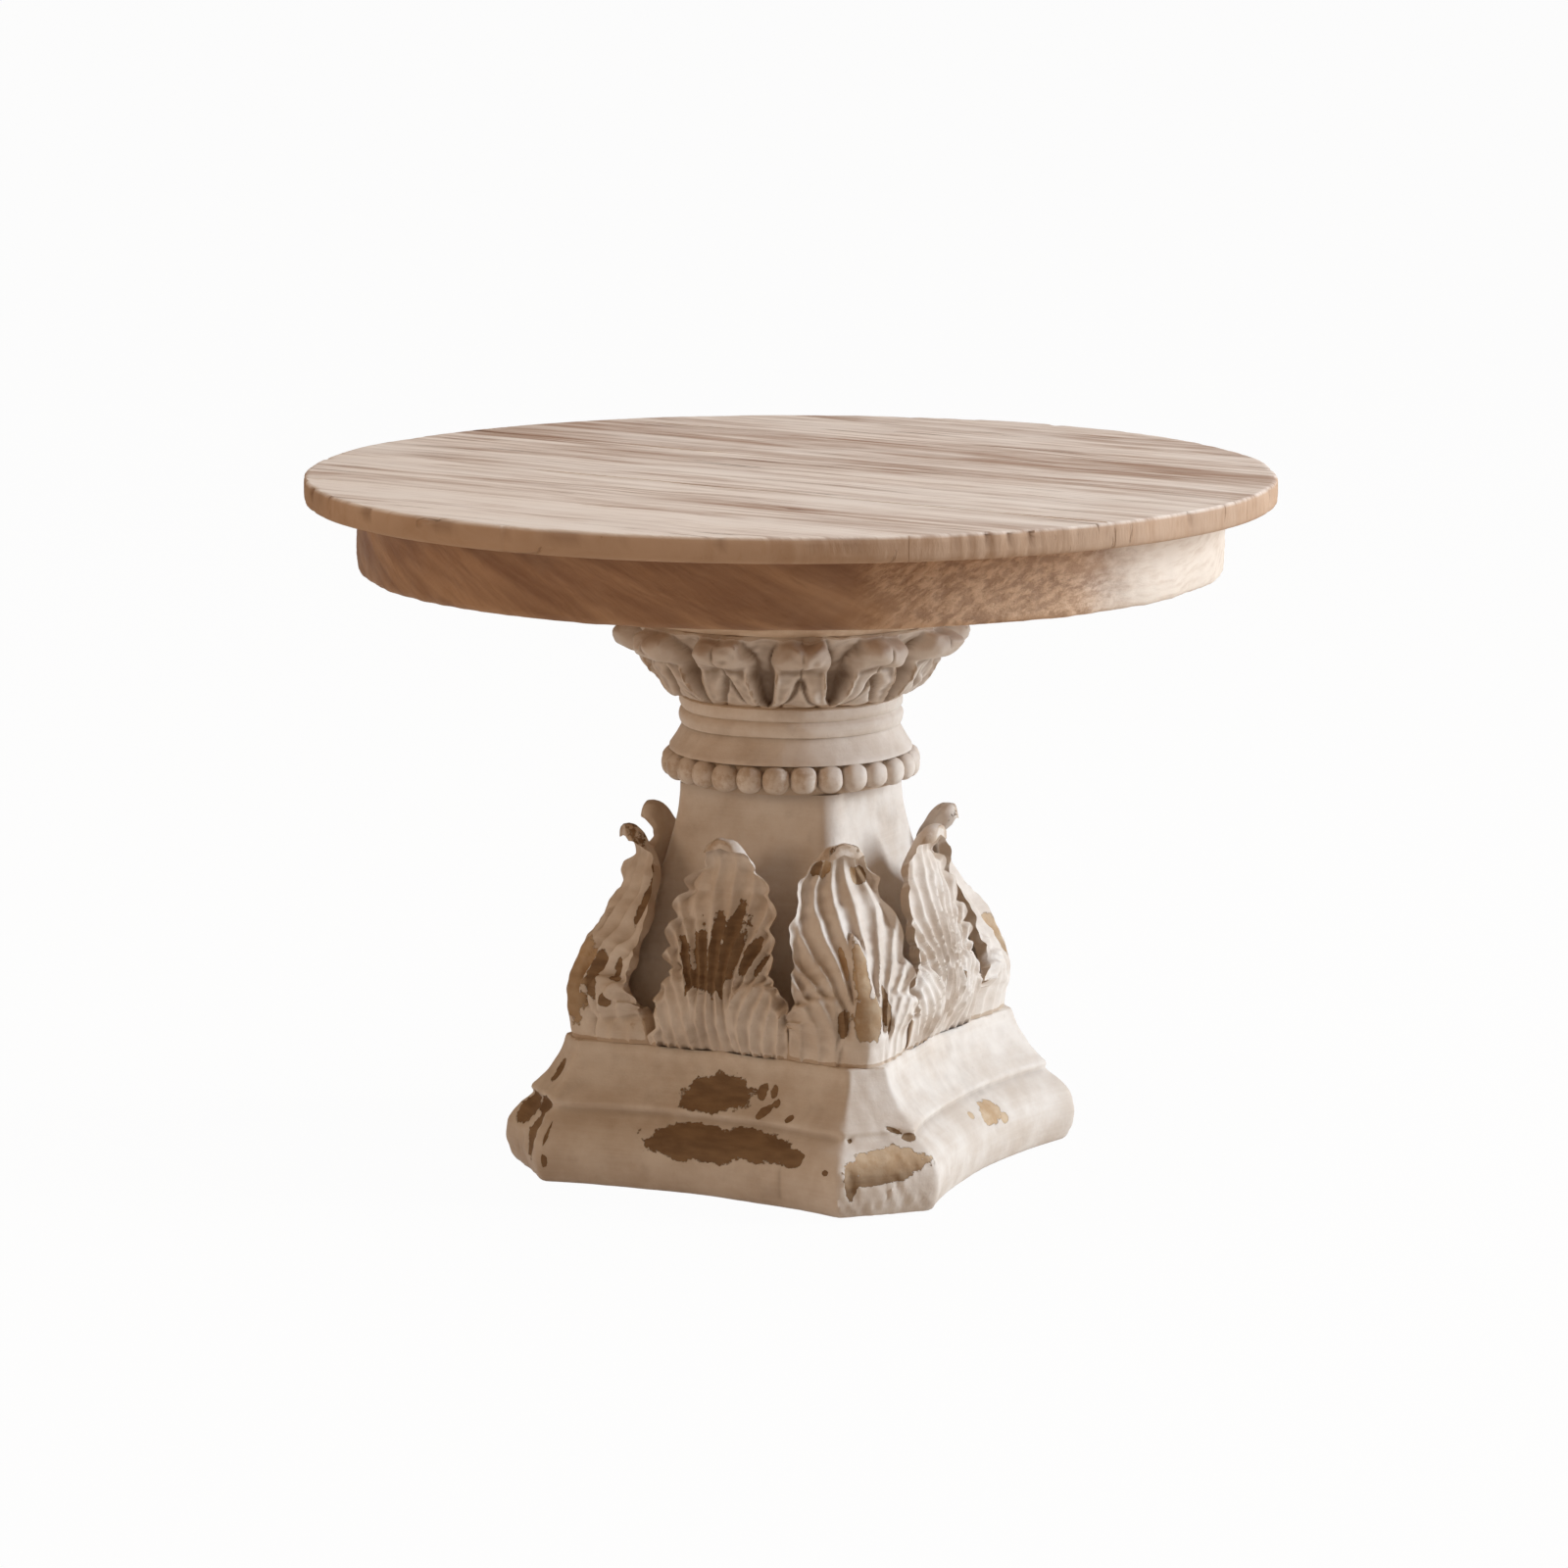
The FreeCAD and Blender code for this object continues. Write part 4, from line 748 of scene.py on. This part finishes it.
inside = [(90, APRON_HEAD), (2, APRON_HEAD), (2, INSERT_TOP), (INSERT_HOLE, INSERT_TOP),
          (INSERT_HOLE, APRON_FOOT), (90, APRON_FOOT)]
rings = turned(np.vstack([outside, inside]), 420)
rough = 0.30 * ripple(rings, 26, 191) + 0.12 * ripple(rings * (1, 1, 0.5), 5, 192)
rough = rough + 0.06 * ripple(rings, 2.4, 193)
rings[:len(outside), :, :2] *= 1 + (rough[:len(outside)] / APRON_RADIUS)[..., None]
rings[1:4, :, 2] += 0.1 * ripple(rings[1:4], 9, 194)
sideways = toward_lit_side(rings)
# Paler towards the lit side: partly fading, partly painted light
faded_and_lit = ramp((sideways - 68) / 50)
torn = ramp((sideways - 8) / 30) * ramp((110 - sideways) / 30)
make_piece("rough_apron", rings, grid_faces(*rings.shape[:2], over=True), brown_wood, "brown_wood", "apron",
           marks={"faded_and_lit": faded_and_lit, "torn": torn})


# Boards of the top: five boards, edge-glued, sawn round and bleached. The soft grain is worn down in
# streaks, the arris is knocked and nicked, and each board is a little different in tone.
TOP, TOP_RADIUS = 219.5, 152.5
bleached = Finish("bleached_wood")
along = (0, 0, BOARD_TURN)
streak = bleached.mottle((75, 4.6, 20), detail=6, roughness=0.62, turn=along, distortion=0.6)
band = bleached.mottle((300, 19, 40), detail=4, turn=along, distortion=0.6)
fibre = bleached.mottle((24, 1.1, 6), detail=5, turn=along)
split = bleached.mottle((45, 1.5, 12), detail=4, turn=along)
bloom = bleached.mottle((80, 34, 40), detail=4, turn=along)
tone = bleached.mark("tone")
wood = bleached.blend((streak * 0.7 + band * 0.5 + tone).step(0.5, 0.8), colour(0.80, 0.69, 0.60),
                      colour(0.38, 0.245, 0.175))
wood = bleached.blend(fibre.step(0.5, 0.8) * 0.5, wood, colour(0.41, 0.27, 0.195))
wood = bleached.blend(bloom.step(0.42, 0.72) * 0.6, wood, colour(0.82, 0.73, 0.65))
crack = (split * 0.7 + streak * 0.5).step(0.72, 0.80)
wood = bleached.blend(crack * 0.75, wood, colour(0.20, 0.115, 0.07))
rim_wood = bleached.blend(bloom.step(0.3, 0.7) * 0.6 + streak * 0.4, colour(0.58, 0.38, 0.25),
                          colour(0.41, 0.25, 0.15))
wood = bleached.blend(bleached.mark("sawn") * 0.85, wood, rim_wood)
# Dents darken the wood, and painted shade darkens the left of the rim
wood = bleached.blend(bleached.mark("dent_and_shade") * 0.7, wood, colour(0.23, 0.13, 0.075))
bleached.surface(Base_Color=wood, Roughness=0.78 + 0.15 * fibre, Specular_IOR_Level=0.12,
                 Normal=bleached.relief(fibre * 0.35 - crack * 0.8 - streak * 0.3, 0.5))
joints = [-TOP_RADIUS, -100.04, -43.0, 27.14, 80.06, TOP_RADIUS]
board_tones = (-0.06, 0.02, 0.0, 0.06, 0.04)
BOARD_ROWS, BOARD_COLUMNS = 48, 130
SOFT_EDGE, RIM_WEAR, JOINT_GAP, OUTER_ROW_HALF, OUTER_EDGE = 1.6, 0.3, 0.05, 6, 6
ROUND_RADIUS = TOP_RADIUS - RIM_WEAR - SOFT_EDGE
# Rings round the arris, down the edge and under: how far out and down each is, its wear, and how sawn it is
edge_rings = ((0.9, 0.12, 0.6, 0), (1.35, 0.5, 1, 0.3), (1.6, 1.2, 0.9, 1), (1.65, 2.4, 0.5, 1),
              (1.65, 5.4, 0.3, 1), (1.6, 6.7, 0.5, 1), (1.25, 7.5, 0.6, 1), (0.8, 7.9, 0.3, 1))
# Places round the border of a grid of points
last_row, last_column = BOARD_ROWS - 1, BOARD_COLUMNS - 1
order = np.array([(0, column) for column in range(BOARD_COLUMNS)]
                 + [(row, last_column) for row in range(1, BOARD_ROWS)]
                 + [(last_row, column) for column in range(last_column - 1, -1, -1)]
                 + [(row, 0) for row in range(last_row - 1, 0, -1)])
steps = np.arange(len(order))
after = (steps + 1) % len(order)
rim_of_grid = order[:, 0] * BOARD_COLUMNS + order[:, 1]
cells = grid_faces(BOARD_ROWS, BOARD_COLUMNS, around=False)
first_ring = BOARD_ROWS * BOARD_COLUMNS
ring_start = [first_ring + len(order) * level for level in range(len(edge_rings))]
under_start = ring_start[-1] + len(order)
levels = [rim_of_grid] + [start + steps for start in ring_start] + [under_start + rim_of_grid]
walls = [np.column_stack([upper[steps], upper[after], lower[after], lower[steps]])
         for upper, lower in zip(levels, levels[1:])]
faces = np.concatenate([cells, cells[:, ::-1] + under_start, *walls])
unmarked = np.zeros(first_ring)
sawn = np.concatenate([unmarked, np.repeat([ring[-1] for ring in edge_rings], len(order)), unmarked + 1])
outermost = math.sqrt(ROUND_RADIUS ** 2 - OUTER_ROW_HALF ** 2)
for number, (near, far) in enumerate(zip(joints, joints[1:])):
    limits = max(near + JOINT_GAP, -outermost), min(far - JOINT_GAP, outermost)
    lean = np.linspace(*[math.asin(limit / ROUND_RADIUS) for limit in limits], BOARD_ROWS)[:, None]
    grid = np.dstack([ROUND_RADIUS * np.cos(lean) * np.linspace(-1, 1, BOARD_COLUMNS),
                      ROUND_RADIUS * np.sin(lean) + np.zeros(BOARD_COLUMNS)])
    border = grid[order[:, 0], order[:, 1]]
    tangent = np.roll(border, -1, axis=0) - np.roll(border, 1, axis=0)
    normal = np.column_stack([tangent[:, 1], -tangent[:, 0]])
    normal /= np.linalg.norm(normal, axis=1, keepdims=True)
    on_rim = np.hypot(*border.T) > ROUND_RADIUS - 0.02
    outer = (near == -TOP_RADIUS) & (border[:, 1] < near + OUTER_EDGE)
    outer = outer | (far == TOP_RADIUS) & (border[:, 1] > far - OUTER_EDGE)
    on_rim = on_rim | outer
    normal = np.where(outer[:, None], normal, normal * 0.02)
    normal = np.where((on_rim & ~outer)[:, None], border / ROUND_RADIUS, normal)
    # The front of the rim is knocked about most to the right, and painted shade darkens it to the left
    spots = np.column_stack([border, np.zeros(len(border))])
    nick = ramp(ripple(spots, 7, 210 + number) - 0.85) * 1.1
    nick = nick + ramp(ripple(spots, 22, 220) - 0.9) * 0.9
    around_rim = np.degrees(np.arctan2(border[:, 1], border[:, 0]))
    knocked = swell(around_rim + 33, 15)
    nick = nick + knocked * np.clip(1.2 * ripple(spots, 3.4, 233) - 0.1, 0, 1.1)
    nick = np.where(on_rim, nick + 0.08 * ripple(spots, 3, 230) + 0.22 * ripple(spots, 30, 231), 0)
    rim_shade = 0.45 * swell(around_rim + 150, 18) * on_rim
    shell, dents_and_shade = [], [unmarked]
    for out, down, wear, _ in edge_rings:
        edge = border + normal * (out - nick * wear)[:, None]
        drop = np.where(on_rim, 0.35 * nick * (down < 1), 0)
        shell.append(np.column_stack([edge, TOP - down - drop]))
        dents_and_shade.append(ramp(nick - 0.3) * (0.2 < down < 3) + rim_shade * (down > 0.2))
    # Streaks worn into the top along the grain, and a slow warp
    flat = 0 * grid[..., :1]
    top_relief = 0.10 * ripple(np.dstack([grid * (0.04, 1), flat]), 5, 240 + number)
    top = np.dstack([grid, TOP - 0.06 + top_relief - 0.12 * ripple(np.dstack([grid, flat]), 50, 250)])
    top[..., 2] = np.minimum(top[..., 2], TOP)
    bottom = np.dstack([grid, flat + APRON_TOP + SEAT_GAP])
    points = np.concatenate([top.reshape(-1, 3), *shell, bottom.reshape(-1, 3)])
    points = spun(points, math.radians(BOARD_TURN))
    marks = {"tone": np.full(len(points), board_tones[number]), "sawn": sawn,
             "dent_and_shade": np.concatenate([*dents_and_shade, unmarked])}
    make_piece(f"bleached_board_{number + 1}", points, faces, bleached, "bleached_boards",
               f"top_board_{number + 1}", marks=marks, crease=50)


# Rod, nut, washer, screws and insert: bought hardware, zinc-plated steel and brass, with fine scratches
# from the spanner and the screwdriver. The rod draws the whole pedestal together from below.
for slot_name, tint, names in (
        ("zinc_steel", (0.56, 0.57, 0.58),
         ("tie_rod", "rod_nut", "rod_washer", "board_screws", "abacus_screws")),
        ("yellow_brass", (0.72, 0.52, 0.24), ("threaded_insert",))):
    metal = Finish(slot_name)
    scratch = metal.mottle((8, 0.3, 0.3), detail=4)
    stain = metal.mottle(6, detail=3)
    dull = [part * 0.55 for part in tint]
    metal.surface(Base_Color=metal.blend(stain.step(0.4, 0.8), colour(*tint), colour(*dull)), Metallic=1.0,
                  Roughness=0.28 + 0.25 * scratch, Normal=metal.relief(scratch, 0.02))
    for name in names:
        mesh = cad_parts[name].data
        mesh.materials.clear()
        mesh.materials.append(metal.data)


# Studio: a pale floor that keeps the shadow, a tall soft light to the right and a little behind, a warm
# low fill, and the camera a little above the top.
FLOOR_HALF = 16
floor_mesh = bpy.data.meshes.new("studio_floor")
corners = [(-FLOOR_HALF, -FLOOR_HALF, 0), (FLOOR_HALF, -FLOOR_HALF, 0), (FLOOR_HALF, FLOOR_HALF, 0),
           (-FLOOR_HALF, FLOOR_HALF, 0)]
floor_mesh.from_pydata(corners, [], [(0, 1, 2, 3)])
floor = bpy.data.objects.new("studio_floor", floor_mesh)
bpy.context.scene.collection.objects.link(floor)
paper = Finish("white_paper")
paper.surface(Base_Color=colour(0.62, 0.53, 0.44), Roughness=0.9)


def show_white(finish, share, white, output):
    """Puts white in place of a finish for a share of the rays."""
    shown = finish.node("MixShader", {}, {0: share, 1: Shade(finish, finish.shader.outputs[0]), 2: white})
    finish.tree.links.new(shown.plug, finish.tree.nodes[output].inputs["Surface"])


ray, gloss, through = [paper.node("LightPath", {}, {}, f"Is {kind} Ray")
                       for kind in ("Camera", "Glossy", "Transmission")]
glow = paper.node("Emission", {}, {"Color": colour(1, 1, 1), "Strength": 1})
show_white(paper, (ray + gloss + through).least(1) * 0.97, glow, "Material Output")
floor_mesh.materials.append(paper.data)

room = Finish("studio", "worlds")
bpy.context.scene.world = room.data
room.surface(Color=colour(1.0, 0.69, 0.43), Strength=0.205)
white = room.node("Background", {}, {"Color": colour(1, 1, 1)})
show_white(room, room.node("LightPath", {}, {}, "Is Camera Ray"), white, "World Output")

# Lights and camera are placed in metres
CAMERA_AZIMUTH, CAMERA_PITCH = math.radians(26.13), math.radians(10.267)
CAMERA_BACK, CAMERA_LEFT, CAMERA_HEIGHT = 1.8155, 0.00218, 0.4487
AIM_HEIGHT = 0.12


def soft_light(name, turn, rise, distance, size, power, tint):
    """Area light round to the right of the camera by a turn and up by a rise, both in degrees."""
    lamp = bpy.data.lights.new(name, "AREA")
    lamp.shape = "RECTANGLE"
    lamp.size, lamp.size_y = size
    lamp.energy = power
    lamp.color = tint
    around = CAMERA_AZIMUTH + math.radians(turn)
    level = math.cos(math.radians(rise)) * distance
    light = bpy.data.objects.new(name, lamp)
    light.location = (level * math.sin(around), -level * math.cos(around),
                      AIM_HEIGHT + distance * math.sin(math.radians(rise)))
    light.rotation_euler = (Vector((0, 0, AIM_HEIGHT)) - light.location).to_track_quat("-Z", "Y").to_euler()
    bpy.context.scene.collection.objects.link(light)


soft_light("key_light", 88, 20, 2.2, (0.3, 1.3), 55.5, (0.77, 0.885, 1.0))
soft_light("left_light", -62, 14, 2.0, (0.7, 0.7), 6, (1.0, 0.76, 0.55))
soft_light("top_light", 30, 82, 2.0, (1.4, 1.4), 18, (0.95, 0.97, 1.0))

camera_data = bpy.data.cameras.new("camera")
camera_data.lens, camera_data.sensor_width = 133.9, 36
camera_data.clip_start, camera_data.clip_end = 0.05, 50
camera = bpy.data.objects.new("camera", camera_data)
right = Vector((math.cos(CAMERA_AZIMUTH), math.sin(CAMERA_AZIMUTH), 0))
level = Vector((-math.sin(CAMERA_AZIMUTH), math.cos(CAMERA_AZIMUTH), 0))
ahead = level * math.cos(CAMERA_PITCH) - Vector((0, 0, math.sin(CAMERA_PITCH)))
above = level * math.sin(CAMERA_PITCH) + Vector((0, 0, math.cos(CAMERA_PITCH)))
place = -level * CAMERA_BACK - right * CAMERA_LEFT + Vector((0, 0, CAMERA_HEIGHT))
axes = Matrix((right, above, -ahead)).transposed()
camera.matrix_world = Matrix.Translation(place) @ axes.to_4x4()
bpy.context.scene.collection.objects.link(camera)
bpy.context.scene.camera = camera
bpy.context.scene.view_settings.view_transform = "Standard"
